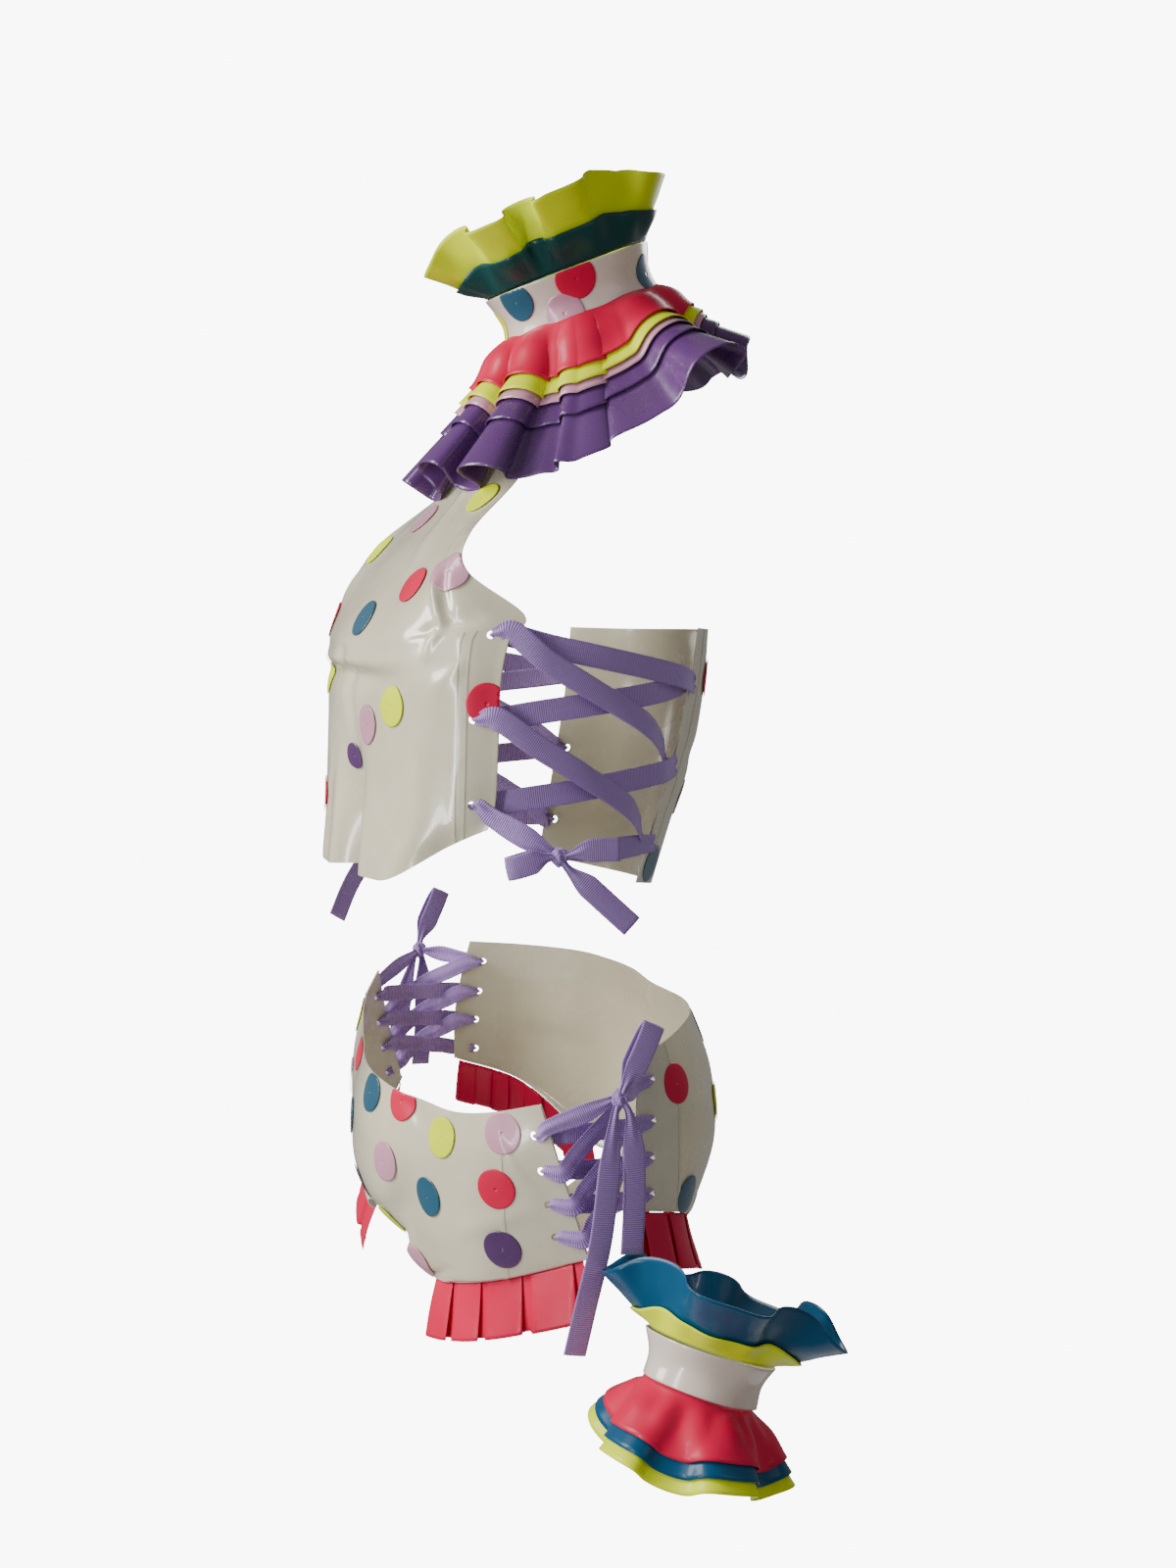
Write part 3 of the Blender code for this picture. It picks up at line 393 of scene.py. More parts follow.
def spline(knots, at):
    """Points of a smooth curve through the knots; at counts knots, from 0 to the last."""
    knots = np.asarray(knots, float)
    padded = np.concatenate([2 * knots[:1] - knots[1:2], knots, 2 * knots[-1:] - knots[-2:-1]])
    at = np.clip(np.asarray(at, float), 0, len(knots) - 1 - 1e-9)
    first = at.astype(int)
    t = (at - first).reshape((-1,) + (1,) * (knots.ndim - 1))
    a, b, c, d = (padded[first + i] for i in range(4))
    return b + 0.5 * t * (c - a + t * (2 * a - 5 * b + 4 * c - d + t * (3 * (b - c) + d - a)))


def panel_points(rows, across, down):
    """Grid of points on a panel: across runs -1..1 from edge to edge, down 0..1 from top to hem."""
    left = np.asarray(rows, float) / 1000
    full = np.concatenate([left[:, :0:-1] * (-1, 1, 1), left], axis=1)
    levels = spline(full, np.asarray(down) * (len(rows) - 1))
    half = (full.shape[1] - 1) / 2
    lines = spline(levels.transpose(1, 0, 2), (np.asarray(across) + 1) * half)
    return lines.transpose(1, 0, 2)


def smoothstep(low, high, value):
    share = np.clip((value - low) / (high - low), 0, 1)
    return share * share * (3 - 2 * share)


def top_front_shape(across, down):
    """The front hangs straight from the cups, with one deep sharp fold in the middle of its skirt."""
    points = panel_points(TOP_FRONT, across, down)
    fold = CENTRE_FOLD
    grown = smoothstep(-fold["top"], -fold["bottom"], -points[..., 2])
    x = points[..., 0] / fold["width"]
    trough = fold["depth"] * np.exp(-np.abs(x) ** 1.5)
    swell = fold["swell"] * np.exp(-((abs(x) - 2.2) ** 2))
    points[..., 1] += grown * (trough - swell)
    return points


def top_back_shape(across, down):
    return panel_points(TOP_BACK, across, down)


def leaned(points):
    """The hips lean a little down on the wearer's left."""
    points = np.array(points, float)
    x, z = points[..., 0].copy(), points[..., 2] - HIP_PIVOT_Z
    points[..., 0] = x * cos(HIP_TILT) + z * sin(HIP_TILT)
    points[..., 2] = HIP_PIVOT_Z + z * cos(HIP_TILT) - x * sin(HIP_TILT)
    return points


def shorts_front_shape(across, down):
    points = panel_points(SHORTS_FRONT, across, down)
    points[..., 1] = np.minimum(points[..., 1], CROTCH_Y / 1000 - SEAM_GAP)
    return leaned(points)


def shorts_back_shape(across, down):
    points = panel_points(SHORTS_BACK, across, down)
    points[..., 1] = np.maximum(points[..., 1], CROTCH_Y / 1000 + SEAM_GAP)
    return leaned(points)


def normals_of(points, outward):
    """Unit normals of a grid, turned to the side that the outward directions point to."""
    normal = np.cross(np.gradient(points, axis=1), np.gradient(points, axis=0))
    normal /= np.linalg.norm(normal, axis=-1, keepdims=True) + 1e-12
    sign = np.sign((normal * outward).sum(-1, keepdims=True))
    return normal * np.where(sign == 0, 1, sign)


class Panel:
    """A body panel with its creases: any place on it, across -1..1, down 0..1, lifted off the cloth."""

    CELLS = 320

    def __init__(self, shape, creases, flat):
        self.across = np.linspace(-1, 1, self.CELLS + 1)
        self.down = np.linspace(0, 1, self.CELLS + 1)
        points = shape(self.across, self.down)
        outward = (points - BODY_MIDDLE) * (1, 1, 0)
        normals = normals_of(points, outward)
        half, height = flat
        across, down = np.meshgrid(self.across * half, self.down * height)
        for start, end, width, rise in creases:
            start, end = (np.array(place) * (half, height) for place in (start, end))
            way = end - start
            share = ((across - start[0]) * way[0] + (down - start[1]) * way[1]) / (way @ way)
            near = np.clip(share, 0, 1)
            apart = np.hypot(across - start[0] - near * way[0], down - start[1] - near * way[1])
            taper = np.sin(pi * np.clip(0.12 + 0.76 * share, 0, 1))
            hump = rise / 1000 * taper * np.exp(-((apart / (width / 1000)) ** 2))
            points = points + normals * hump[..., None]
        self.points = points
        self.normals = normals_of(points, outward)

    def at(self, across, down, lift=0.0):
        """Places on the panel for matching lists of across and down."""
        column = (np.clip(across, -1, 1) + 1) * self.CELLS / 2
        row = np.clip(down, 0, 1) * self.CELLS
        c, r = (np.minimum(x.astype(int), self.CELLS - 1) for x in (np.asarray(column), np.asarray(row)))
        s, t = (column - c)[..., None], (row - r)[..., None]
        place = 0
        for source, gain in ((self.points, 1.0), (self.normals, lift)):
            top = source[r, c] * (1 - s) + source[r, c + 1] * s
            low = source[r + 1, c] * (1 - s) + source[r + 1, c + 1] * s
            place = place + np.asarray(gain)[..., None] * (top * (1 - t) + low * t)
        return place

    def grid(self, across, down, lift=0.0):
        return self.at(*np.meshgrid(across, down), lift)


def round_frame(centre, axis):
    """Centre, sideways, forward and axis directions of a ring round a neck or a wrist."""
    axis = np.asarray(axis, float) / np.linalg.norm(axis)
    forward = np.array((0.0, -1.0, 0.0))
    forward -= (forward @ axis) * axis
    forward /= np.linalg.norm(forward)
    return np.asarray(centre, float), np.cross(axis, forward), forward, axis


COLLAR_FRAME = round_frame((0, 0, 0), (0, -sin(NECK_TILT), cos(NECK_TILT)))
CUFF_FRAME = round_frame(CUFF_CENTRE, CUFF_AXIS)


def outward_of(ring, turn):
    """Directions out from the ring's axis at angles counted from the front to the wearer's left."""
    _, sideways, forward, _ = ring
    turn = np.asarray(turn)[..., None]
    return np.sin(turn) * sideways + np.cos(turn) * forward


def band_place(ring, sections, height, turn, share, lift=0.0):
    """Places on a band for matching lists of turn and share of the height."""
    centre, _, _, axis = ring
    shares, radii = np.transpose(sections)
    steps = np.linspace(0, 1, 41)
    smooth = np.interp(share, steps, spline(radii, np.interp(steps, shares, np.arange(len(radii)))))
    ripple = 0.0005 * np.sin(turn * 5 + 1.3) * np.cos(np.asarray(share) * 3)
    reach = (smooth + ripple + lift)[..., None]
    return centre + axis * (np.asarray(share) * height)[..., None] + outward_of(ring, turn) * reach


def phase_of(turns, lobes):
    """Wave phase that reaches a full turn at each lobe, so that uneven lobes share one wave."""
    knots = np.array((*lobes, lobes[0] + 360), float)
    degrees = (np.degrees(turns) - lobes[0]) % 360 + lobes[0]
    return 2 * pi * np.interp(degrees, knots, np.arange(len(knots)))


def round_turns(columns):
    turns = np.linspace(0, 2 * pi, columns + 1)
    turns[-1] = 0
    return turns


def collar_low_shape(turns, lengths):
    """The lower frills' shared cone of rolled flutes: steep in front and lying out over the shoulders."""
    degrees = abs((np.degrees(turns) + 180) % 360 - 180)
    knots, slopes, reach = np.transpose(COLLAR_DROP)
    slope = np.radians(np.interp(degrees, knots, slopes))
    reach = np.interp(degrees, knots, reach)
    level = np.stack([np.sin(turns), -np.cos(turns), 0 * turns], -1)
    aside = np.stack([np.cos(turns), np.sin(turns), 0 * turns], -1)
    up = np.array((0.0, 0.0, 1.0))
    run = level * np.cos(slope)[:, None] - up * np.sin(slope)[:, None]
    out = level * np.sin(slope)[:, None] + up * np.cos(slope)[:, None]
    centre, _, _, axis = COLLAR_FRAME
    radial = outward_of(COLLAR_FRAME, turns)
    hung = smoothstep(0.0, COLLAR_LOW_TURN, np.asarray(lengths))[:, None, None]
    glued, free = (radial * radius + axis * height for radius, height in (COLLAR_LOW_SEAM, COLLAR_LOW_HUNG))
    start = centre + glued * (1 - hung) + free * hung
    grown = np.maximum(np.asarray(lengths), 0)[:, None] / COLLAR_LOW_FULL
    phase = phase_of(turns, COLLAR_LOW_FLUTES)
    uneven = 1 + 0.22 * np.sin(2.3 * turns + 0.6) * np.cos(turns)
    wave = (np.cos(phase) * uneven + 0.10) * COLLAR_LOW_WAVE * grown ** 0.8
    roll = np.sin(2 * phase) * uneven * COLLAR_LOW_ROLL * grown ** 1.2
    dip = 0.004 * np.sin(phase * 0.5 + 1.1) * grown ** 2
    length = np.asarray(lengths)[:, None] * reach + dip
    return start + run * length[..., None] + out * wave[..., None] + aside * roll[..., None], out


def fold_wave(phase):
    """Height -1..1 of a gathered frill: broad round crests with narrow troughs between them."""
    return 1 - 2 * ((1 - np.cos(phase)) / 2) ** 1.7


def frill_shape(ring, height, radius, cut, way):
    """A shape function for frills that flare from a band's edge: way 1 stands up and -1 hangs down."""
    centre, _, _, axis = ring
    beyond, inside = cut["seam"]
    height, radius = height + way * beyond, radius - inside
    knots, flares, shares = np.transpose(cut["lean"])

    def shape(turns, lengths):
        degrees = np.degrees(turns)
        flare = np.radians(np.interp(degrees, knots, flares, period=360))[:, None]
        share = np.interp(degrees, knots, shares, period=360)
        radial = outward_of(ring, turns)
        aside = outward_of(ring, np.asarray(turns) + pi / 2)
        run = way * axis * np.cos(flare) + radial * np.sin(flare)
        out = radial * np.cos(flare) - way * axis * np.sin(flare)
        grown = np.maximum(np.asarray(lengths), 0)[:, None] / cut["full"]
        phase = phase_of(turns, cut["lobes"])
        uneven = 1 + 0.25 * np.sin(1.7 * np.sin(turns) + 0.9)
        gathers = 0.0008 * np.cos(3 * phase + 0.8) * np.sin(pi * np.clip(grown * 1.6, 0, 1))
        swing = cut["wave"] * grown * fold_wave(phase) * uneven + gathers
        roll = cut["roll"] * grown ** 1.2 * np.sin(2 * phase) * (0.7 - 0.5 * np.cos(phase)) * uneven
        dip = 0.0020 * grown ** 2 * np.sin(0.5 * phase)
        length = (np.asarray(lengths)[:, None] * share + dip)[..., None]
        return (centre + axis * height + radial * radius + run * length + out * swing[..., None]
                + aside * roll[..., None]), out

    return shape


def layered(shape, turns, lengths, lift):
    """The surface's points moved out to a layer, close at the seam, with the ring closed exactly."""
    points, out = shape(turns[:-1], lengths)
    around = np.roll(points, -1, axis=1) - np.roll(points, 1, axis=1)
    normal = np.cross(around, np.gradient(points, axis=0))
    normal /= np.linalg.norm(normal, axis=-1, keepdims=True)
    normal *= np.sign((normal * out).sum(-1, keepdims=True).mean(axis=1, keepdims=True))
    points = points + normal * lift * (0.3 + 0.7 * smoothstep(0, 0.018, np.asarray(lengths)))[:, None, None]
    return np.concatenate([points, points[:, :1]], axis=1)


# ---------------------------------------------------------------- pieces

def lengths_along(points, axis):
    """Running length of cloth along the middle line of a grid."""
    line = np.take(points, points.shape[axis] // 2, axis=axis)
    return np.concatenate([[0], np.cumsum(np.linalg.norm(np.diff(line, axis=0), axis=1))])


def add_patch(mesh, points):
    """A grid shaped to the points, rows by columns, with its UV map in metres of cloth."""
    rows, columns = points.shape[:2]
    uv = mesh.loops.layers.uv.get("Cloth") or mesh.loops.layers.uv.new("Cloth")
    u, v = lengths_along(points, 0), lengths_along(points, 1)
    made = bmesh.ops.create_grid(mesh, x_segments=columns - 1, y_segments=rows - 1, size=0.5)["verts"]
    for vertex in made:
        column = round((vertex.co.x + 0.5) * (columns - 1))
        row = round((vertex.co.y + 0.5) * (rows - 1))
        for loop in vertex.link_loops:
            loop[uv].uv = (u[column], v[row])
        vertex.co = points[row, column]


def object_of(name, mesh, material=None):
    """A scene object from a bmesh, which is used up."""
    data = bpy.data.meshes.new(name)
    mesh.to_mesh(data)
    mesh.free()
    if material:
        data.materials.append(material)
    made = bpy.data.objects.new(name, data)
    bpy.context.scene.collection.objects.link(made)
    return made


def declare(piece, nodes):
    """Parents the piece to the body and hides the nodes that it stands for."""
    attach(piece, BODY)
    if nodes:
        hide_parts(*nodes)


def cloth(name, patches, look, nodes=(), thickness=LATEX, ring=False, holes=None):
    """One piece of sheet: its patches as a thin closed shell, with any eyelet holes cut through."""
    mesh = bmesh.new()
    for points in patches:
        add_patch(mesh, points)
    if ring:
        bmesh.ops.remove_doubles(mesh, verts=mesh.verts, dist=1e-6)
    material, slot = look
    piece = object_of(name, mesh, material)
    piece.data.shade_smooth()
    shell = piece.modifiers.new("Sheet", "SOLIDIFY")
    shell.thickness = thickness
    shell.offset = 0
    if holes is not None:
        cut = piece.modifiers.new("Eyelets", "BOOLEAN")
        cut.operation = "DIFFERENCE"
        cut.object = holes
        graph = bpy.context.evaluated_depsgraph_get()
        whole = bpy.data.meshes.new_from_object(piece.evaluated_get(graph))
        piece.modifiers.clear()
        piece.data = whole
        bpy.data.objects.remove(holes)
        piece.data.set_sharp_from_angle(angle=radians(40))
    declare(piece, nodes)
    return piece


def frills(place, table, shape, columns):
    """The frills of one seam, each a layer further out than the longer one before it."""
    for layer, (part, finish, cut_length) in enumerate(table):
        rows = max(8, round(cut_length / FRILL_ROW))
        lengths = np.linspace(-0.0012 * layer, cut_length, rows + 1)
        points = layered(shape, round_turns(columns), lengths, layer * LAYER_STEP)
        node = f"{place}_frill_{part}"
        piece = cloth(node + "_sheet", [points], latex(finish), [node], ring=True)


def disc_shares():
    """Round patch as rings by spokes: radius shares and angles."""
    radius = np.concatenate([[0.001], np.linspace(1 / DOT_RINGS, 0.93, DOT_RINGS - 1), [1.0]])
    turn = np.append(np.linspace(0, 2 * pi, DOT_SPOKES, endpoint=False), 0)
    return np.meshgrid(radius, turn, indexing="ij")


def dot_on_panel(panel, across, down, radius=DOT_RADIUS):
    """A round dot glued on a panel: each point sits as far from the centre as on the flat disc."""
    step = 0.004
    centre, beside, below = panel.at(np.array([across, across + step, across]),
                                     np.array([down, down, down + step]))
    side = (beside - centre) / np.linalg.norm(beside - centre)
    upright = np.cross(np.cross(side, below - centre), side)
    upright /= np.linalg.norm(upright)
    flat = np.stack([side, upright], axis=1)
    reach, turn = disc_shares()
    target = radius * np.stack([reach * np.cos(turn), reach * np.sin(turn)], axis=-1)
    a, d = np.full_like(reach, across), np.full_like(reach, down)
    for _ in range(8):
        here = panel.at(a, d)
        step_a, step_d = np.where(a > 0, -step, step), np.where(d > 0.5, -step, step)
        by_a = (panel.at(a + step_a, d) - here) @ flat / step_a[..., None]
        by_d = (panel.at(a, d + step_d) - here) @ flat / step_d[..., None]
        miss = target - (here - centre) @ flat
        size = by_a[..., 0] * by_d[..., 1] - by_a[..., 1] * by_d[..., 0]
        a = np.clip(a + (miss[..., 0] * by_d[..., 1] - miss[..., 1] * by_d[..., 0]) / size, -1, 1)
        d = np.clip(d + (by_a[..., 0] * miss[..., 1] - by_a[..., 1] * miss[..., 0]) / size, 0, 1)
    return panel.at(a, d, DOT_LIFT - 0.00012 * reach ** 6)


def dots(name, places, make_patch):
    """The dots of a panel, one piece for each colour."""
    made = []
    for finish in sorted({place[0] for place in places}):
        patches = [make_patch(*place[1:]) for place in places if place[0] == finish]
        made.append(cloth(f"{name}_dots_{finish}", patches, latex(finish), thickness=DOT_SHEET, ring=True))
    return made


def eyelet_cutter(name, panel, eyelets):
    mesh = bmesh.new()
    for side in (1, -1):
        for across, down in eyelets:
            low, high = (Vector(panel.at(np.array(across * side), np.array(down), lift))
                         for lift in (-0.006, 0.004))
            turn = (high - low).to_track_quat("Z", "Y").to_matrix().to_4x4()
            bmesh.ops.create_cone(mesh, cap_ends=True, segments=28, radius1=EYELET_RADIUS,
                                  radius2=EYELET_RADIUS, depth=(high - low).length,
                                  matrix=Matrix.Translation((low + high) / 2) @ turn)
    return object_of(name, mesh)


def body_panel(name, panel, eyelets, cells, facings, dot_places):
    """A garment panel with its dots, its glued facings or hem bands, and its eyelets."""
    points = panel.grid(np.linspace(-1, 1, cells[0] + 1), np.linspace(0, 1, cells[1] + 1), -CAD_WALL / 2)
    piece = cloth(name + "_sheet", [points], latex("cream"), [name],
                  holes=eyelet_cutter(name + "_cutter", panel, eyelets))
    extra = []
    for number, (across, down, finish, lift) in enumerate(facings):
        columns = 5 + round(80 * abs(across[1] - across[0]))
        patch = panel.grid(np.linspace(*across, columns), np.linspace(*down, 61), lift)
        holes = eyelet_cutter(name + "_cutter", panel, eyelets)
        extra.append(cloth(f"{name}_facing_{number}", [patch], latex(finish), thickness=FACING_SHEET,
                           holes=holes))
    extra += dots(name, dot_places, lambda *place: dot_on_panel(panel, *place))


def leg_frill(name, panel, side):
    """Knife pleats glued under a leg hem: flat fronts, with their returns tucked behind."""
    cut = LEG_FRILL
    places, stands = [], []
    for pleat in range(cut["pleats"]):
        for share, stand in PLEAT:
            places.append((pleat + share) / cut["pleats"])
            stands.append(stand * (1 + 0.2 * sin(pleat * 2.1 + side)))
    places.append(1.0)
    stands.append(1.0)
    steps = np.linspace(0, len(places) - 1, (len(places) - 1) * 4 + 1)
    places, stands = (np.interp(steps, np.arange(len(values)), values) for values in (places, stands))
    low, high = cut["span"]
    across = (low + (high - low) * places) * side
    hem = panel.at(across, np.ones_like(across), -CAD_WALL / 2)
    outward = (hem - BODY_MIDDLE) * (1, 1, 0)
    outward /= np.linalg.norm(outward, axis=1, keepdims=True)
    fall = outward * sin(cut["flare"]) - np.array((0, 0, cos(cut["flare"])))
    rows = []
    for share in np.linspace(0, 1, 15):
        stand = cut["stand"] * (0.28 + 0.72 * share) * stands[:, None]
        belly = 0.0012 * sin(pi * share) * np.cos(7 * places)[:, None]
        rows.append(hem - (0, 0, 0.0006) + fall * cut["length"] * share + outward * (stand + belly - 0.0016))
    points = np.stack(rows)
    cloth(name + "_sheet", [points], latex("red"), [name])


# ---------------------------------------------------------------- ribbons

def body_outward(point):
    level = (np.asarray(point) - BODY_MIDDLE) * (1, 1, 0)
    return level / np.linalg.norm(level)


def edge_place(panel, side, height, last):
    """The place on a panel's laced edge at a height."""
    down = np.linspace(0, last, 49)
    edge = panel.at(np.full_like(down, side), down)
    return np.array([np.interp(-height, -edge[:, 2], edge[:, axis]) for axis in range(3)])


def eyelet_places(panel, eyelet, side):
    """Under the panel beside the eyelet, in it, and over the panel beside it."""
    across, down = eyelet
    lifts = (UNDER, -CAD_WALL / 2, OVER)
    tenth = panel.at(np.array(1.0), np.array(down)) - panel.at(np.array(0.9), np.array(down))
    beside = across + BESIDE / np.linalg.norm(tenth) * 0.1
    places = (beside, across, beside)
    return [panel.at(np.array(place * side), np.array(down), lift) for place, lift in zip(places, lifts)]


def gap_place(laced, side, share, height, lift):
    """A place on the open side of the body, share 0 at the front panel's edge and 1 at the back's."""
    front = edge_place(laced["front"], side, height, laced["last"])
    back = edge_place(laced["back"], side, height, laced["last"])
    point = front + (back - front) * share
    point += body_outward(point) * (laced["bulge"] * 4 * share * (1 - share) + lift)
    return np.array((point[0], point[1], height))


def lace_path(stops, laced, side, knot, begin):
    """Knots of one half of a lace, each with its width: through the eyelets in turn, and to the bow."""
    path = []
    previous = None
    for number, (name, index) in enumerate(stops):
        under, inside, over = eyelet_places(laced[name], laced[name + "_eyelets"][index], side)
        if previous is not None:
            start_name, start, leaves_over = previous
            for share, lift in RUN_LIFTS[(start_name, leaves_over)]:
                height = start[2] + (under[2] - start[2]) * (share if start_name == "front" else 1 - share)
                path.append((*gap_place(laced, side, share, height, lift), laced["width"]))
        if number or begin == "through":
            path += [(*under, UNDER_WIDTH), (*inside, GATHER_WIDTH), (*over, OVER_WIDTH)]
        else:
            path.append((*(over if begin == "over" else under), UNDER_WIDTH))
        previous = (name, over if number or begin != "under" else under, bool(number) or begin != "under")
    name, start, _ = previous
    share = 0.0 if name == "front" else 1.0
    edge = gap_place(laced, side, share, start[2] + 0.25 * (knot[2] - start[2]), OVER + 0.0009)
    middle = (edge + knot) / 2
    way = (edge - knot) / np.linalg.norm(edge - knot)
    path.append((*edge, laced["width"] * 0.8))
    path.append((*(middle + body_outward(middle) * 0.002), laced["width"]))
    path.append((*(knot + way * KNOT_RADIUS * 0.6), GATHER_WIDTH))
    return np.array(path)


def ribbon_points(path, width_way):
    """A ribbon's grid along knots of x, y, z and width; where it is drawn narrow, it gathers in folds."""
    path = spline(path, np.linspace(0, len(path) - 1, (len(path) - 1) * RIBBON_STEPS + 1))
    line, widths = path[:, :3], np.clip(path[:, 3:], GATHER_WIDTH * 0.8, RIBBON_WIDTH)
    along = np.gradient(line, axis=0)
    along /= np.linalg.norm(along, axis=1, keepdims=True)
    across = width_way - along * (along @ width_way)[:, None]
    across /= np.linalg.norm(across, axis=1, keepdims=True)
    over = np.cross(along, across)
    shares = np.linspace(-1, 1, 11)[:, None, None]
    folds = np.clip(RIBBON_WIDTH - widths, 0, RIBBON_WIDTH) * 0.115 * np.cos(shares * pi * 1.5)
    cup = -0.0005 * shares ** 2
    return line + across * shares * widths / 2 + over * (folds + cup), line


def ribbon(name, path, width_way):
    points, line = ribbon_points(path, width_way)
    return cloth(name + "_ribbon", [points], grosgrain(), [name], thickness=RIBBON), line


def knot_piece(name, knot, out):
    """A small tied knot: a squashed ball with ribbon turns pressed into it."""
    mesh = bmesh.new()
    bmesh.ops.create_uvsphere(mesh, u_segments=40, v_segments=24, radius=KNOT_RADIUS)
    uv = mesh.loops.layers.uv.new("Cloth")
    for vertex in mesh.verts:
        x, y, z = vertex.co / KNOT_RADIUS
        turns = 1 + 0.10 * sin(9 * x + 4 * z) + 0.08 * cos(7 * y - 5 * x)
        for loop in vertex.link_loops:
            loop[uv].uv = (KNOT_RADIUS * x * 1.4, KNOT_RADIUS * z)
        vertex.co = Vector((x * 0.78, y * 0.88, z)) * KNOT_RADIUS * turns
    bmesh.ops.translate(mesh, vec=knot + out * KNOT_LIFT, verts=mesh.verts)
    material, slot = grosgrain()
    piece = object_of(name + "_tied", mesh, material)
    piece.data.shade_smooth()
    declare(piece, [name])


def bow(name, knot, ribbons, side):
    """A knot with its flat loop and its two cut ends."""
    out = body_outward(knot)
    back = np.cross((0, 0, side), out)
    up = np.array((0.0, 0.0, 1.0))
    knot_piece(name + "_knot", knot, out)
    for part, steps in ribbons.items():
        path = [(*(knot + back * b + up * u + out * (o + KNOT_LIFT)), GATHER_WIDTH if i < 2 else RIBBON_WIDTH)
                for i, (b, u, o) in enumerate(np.array([(0, 0, 1), *steps]) / 1000)]
        far = 4 if part == "loop" else -1
        if part == "loop":
            path[-1] = (*path[-1][:3], GATHER_WIDTH)
            path.append((*(knot + out * KNOT_LIFT), GATHER_WIDTH))
        flat_way = np.cross(out, np.array(path[far][:3]) - np.array(path[0][:3]))
        piece, line = ribbon(name + "_" + part, path, flat_way / np.linalg.norm(flat_way))


def lacing(top_front, top_back, shorts_front, shorts_back):
    laced_top = {"front": top_front, "back": top_back, "front_eyelets": TOP_FRONT_EYELETS,
                 "back_eyelets": TOP_BACK_EYELETS, "bulge": TOP_BULGE, "last": 1.0, "width": RIBBON_WIDTH}
    laced_shorts = {"front": shorts_front, "back": shorts_back, "front_eyelets": SHORTS_FRONT_EYELETS,
                    "back_eyelets": SHORTS_BACK_EYELETS, "bulge": SHORTS_BULGE, "last": 0.75,
                    "width": SHORTS_RIBBON_WIDTH}
    up = np.array((0.0, 0.0, 1.0))
    for side, word in ((1, "left"), (-1, "right")):
        knot = np.array(TOP_KNOT) * (side, 1, 1)
        for half, begin in (("a", "over"), ("b", "under")):
            ribbon(f"lace_top_{word}_{half}", lace_path(TOP_LACES[half], laced_top, side, knot, begin), up)
        ribbons = dict(TOP_BOW)
        if side < 0:
            ribbons["end_long"] = TOP_BOW_RIGHT_END
        bow("bow_top_" + word, knot, ribbons, side)
        knot = leaned(np.array(SHORTS_KNOT) * (side, 1, 1))
        for half in ("a", "b"):
            path = lace_path(SHORTS_LACES[half], laced_shorts, side, knot, "through")
            ribbon(f"lace_shorts_{word}_{half}", path, up)
        bow("bow_shorts_" + word, knot, SHORTS_BOW, side)


# ---------------------------------------------------------------- the costume

def band(name, ring, sections, height):
    turns, shares = np.meshgrid(round_turns(160), np.linspace(0, 1, 25))
    points = band_place(ring, sections, height, turns, shares, -CAD_WALL / 2)
    return cloth(name + "_sheet", [points], latex("band"), [name], ring=True), points


def collar():
    piece, points = band("collar_band", COLLAR_FRAME, BAND_SECTIONS, BAND_HEIGHT)

    def dot(degrees, share):
        reach, turn = disc_shares()
        turns = radians(degrees) + DOT_RADIUS * reach * np.cos(turn) / BAND_SECTIONS[1][1]
        shares = np.clip(share + DOT_RADIUS * reach * np.sin(turn) / BAND_HEIGHT, 0.01, 0.99)
        lift = BAND_DOT_LIFT - 0.0002 * reach ** 6
        return band_place(COLLAR_FRAME, BAND_SECTIONS, BAND_HEIGHT, turns, shares, lift)

    dots("collar_band", BAND_DOTS, dot)
    top = frill_shape(COLLAR_FRAME, BAND_HEIGHT, BAND_SECTIONS[-1][1], COLLAR_TOP, 1)
    frills("collar_top", COLLAR_TOP_FRILLS, top, COLLAR_TOP_COLUMNS)
    frills("collar_low", COLLAR_LOW_FRILLS, collar_low_shape, COLLAR_LOW_COLUMNS)


def cuff():
    piece, points = band("cuff_band", CUFF_FRAME, CUFF_SECTIONS, CUFF_HEIGHT)
    top = frill_shape(CUFF_FRAME, CUFF_HEIGHT, CUFF_SECTIONS[-1][1], CUFF_TOP, 1)
    low = frill_shape(CUFF_FRAME, 0.0, CUFF_SECTIONS[0][1], CUFF_LOW, -1)
    frills("cuff_top", CUFF_TOP_FRILLS, top, CUFF_COLUMNS)
    frills("cuff_low", CUFF_LOW_FRILLS, low, CUFF_COLUMNS)


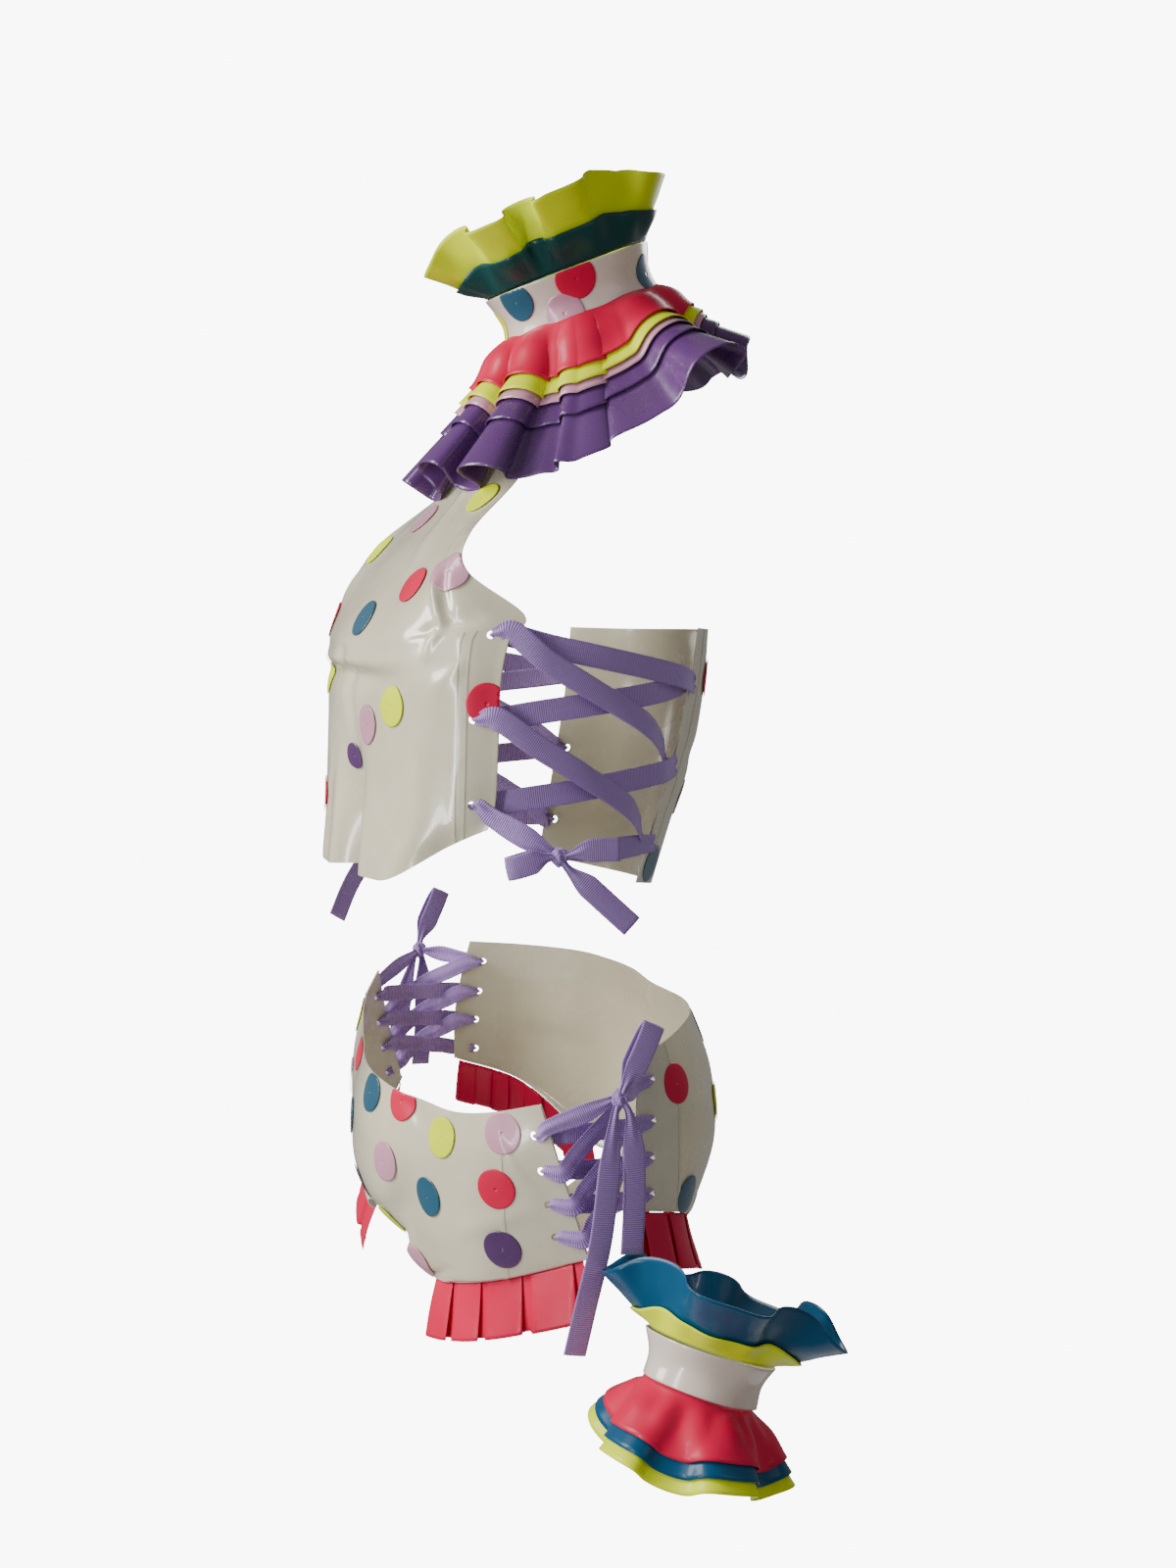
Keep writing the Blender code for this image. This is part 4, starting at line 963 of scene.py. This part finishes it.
def garments():
    top_front = Panel(top_front_shape, TOP_CREASES, (0.165, 0.34))
    top_back = Panel(top_back_shape, TOP_BACK_CREASES, (0.10, 0.17))
    shorts_front = Panel(shorts_front_shape, SHORTS_CREASES, (0.175, 0.15))
    shorts_back = Panel(shorts_back_shape, SHORTS_BACK_CREASES, (0.170, 0.18))
    edge = [((side * low, side * high), (0.545, 0.997), "cream", lift) for side in (1, -1)
            for low, high, lift in ((0.70, 0.999, 0.0002), (0.70, 0.712, 0.0005), (0.765, 0.777, 0.0005),
                                    (0.972, 0.996, 0.0004))]
    body_panel("top_front", top_front, TOP_FRONT_EYELETS, (150, 160), edge, TOP_DOTS)
    edge = [((side * low, side * high), (0.004, 0.996), "cream", lift) for side in (1, -1)
            for low, high, lift in ((0.80, 0.998, 0.0002), (0.80, 0.82, 0.0005))]
    body_panel("top_back", top_back, TOP_BACK_EYELETS, (120, 110), edge, TOP_BACK_DOTS)
    hem = [((side * 0.60, side * 0.985), (0.905, 0.997), "hem", 0.0002) for side in (1, -1)]
    edge = [((side * low, side * high), (0.004, 0.990), "cream", lift) for side in (1, -1)
            for low, high, lift in ((0.845, 0.998, 0.0002), (0.84, 0.85, 0.0005))]
    body_panel("shorts_front", shorts_front, SHORTS_FRONT_EYELETS, (170, 100), edge + hem, SHORTS_DOTS)
    body_panel("shorts_back", shorts_back, SHORTS_BACK_EYELETS, (170, 105), edge + hem, SHORTS_BACK_DOTS)
    for side, word in ((1, "left"), (-1, "right")):
        leg_frill("leg_frill_front_" + word, shorts_front, side)
        leg_frill("leg_frill_back_" + word, shorts_back, side)
    lacing(top_front, top_back, shorts_front, shorts_back)


# ---------------------------------------------------------------- the studio

CAMERA_TURN = radians(65)
CAMERA_FALL = radians(5.2)
CAMERA_PLACE = (1.08479, -0.50145, -0.20024)
CAMERA_LENS = 40.9
FLOOR_Z = -1.45
FLOOR_RADIUS = 0.75
COSTUME_MIDDLE = (0.03, -0.05, -0.33)


def camera():
    data = bpy.data.cameras.new("camera")
    data.sensor_width = 36
    data.lens = CAMERA_LENS
    data.clip_start = 0.05
    viewer = bpy.data.objects.new("camera", data)
    level = cos(CAMERA_FALL)
    back = Vector((sin(CAMERA_TURN) * level, -cos(CAMERA_TURN) * level, sin(CAMERA_FALL)))
    right = Vector((cos(CAMERA_TURN), sin(CAMERA_TURN), 0))
    up = back.cross(right)
    turn = Matrix((right, up, back)).transposed().to_4x4()
    viewer.matrix_world = Matrix.Translation(CAMERA_PLACE) @ turn
    bpy.context.scene.collection.objects.link(viewer)
    bpy.context.scene.camera = viewer


def area_light(name, place, size, power, colour=(1, 1, 1)):
    data = bpy.data.lights.new(name, "AREA")
    data.shape = "RECTANGLE"
    data.size, data.size_y = size
    data.energy = power
    data.color = colour
    lamp = bpy.data.objects.new(name, data)
    lamp.location = place
    lamp.rotation_euler = (Vector(COSTUME_MIDDLE) - Vector(place)).to_track_quat("-Z", "Y").to_euler()
    bpy.context.scene.collection.objects.link(lamp)


def surroundings():
    """Soft light from all round, with a white wall where the camera looks straight past the costume."""
    world = bpy.data.worlds.new("studio")
    world.use_nodes = True
    tree = world.node_tree
    sky = tree.nodes["Background"]
    set_inputs(sky, {"Color": (0.95, 0.95, 0.95, 1), "Strength": 0.24})
    wall = tree.nodes.new("ShaderNodeBackground")
    set_inputs(wall, {"Color": (1, 1, 1, 1), "Strength": 9})
    path = tree.nodes.new("ShaderNodeLightPath")
    bare = tree.nodes.new("ShaderNodeMath")
    bare.operation = "SUBTRACT"
    bare.use_clamp = True
    either = tree.nodes.new("ShaderNodeMixShader")
    for link in ((path, "Is Camera Ray", bare, 0), (path, "Transparent Depth", bare, 1),
                 (bare, "Value", either, "Fac"), (sky, "Background", either, 1),
                 (wall, "Background", either, 2), (either, "Shader", tree.nodes["World Output"], "Surface")):
        socket_link(tree, *link)
    bpy.context.scene.world = world


def studio():
    area_light("window", (-0.55, -1.85, 0.65), (0.8, 1.5), 74, (1.0, 0.98, 0.95))
    area_light("strip", (0.55, -1.45, -0.25), (0.12, 1.3), 12)
    area_light("fill", (1.9, 0.7, 0.6), (1.4, 1.4), 4)
    area_light("behind", (-1.2, 1.5, 0.7), (0.9, 1.2), 16)
    surroundings()
    mesh = bmesh.new()
    bmesh.ops.create_circle(mesh, cap_ends=True, segments=96, radius=FLOOR_RADIUS)
    bmesh.ops.translate(mesh, vec=(0, 0, FLOOR_Z), verts=mesh.verts)
    paint = new_material("floor_paint", {"Base Color": (0.86, 0.86, 0.86, 1), "Roughness": 0.9})[0]
    object_of("floor", mesh, paint)


camera()
studio()
collar()
cuff()
garments()
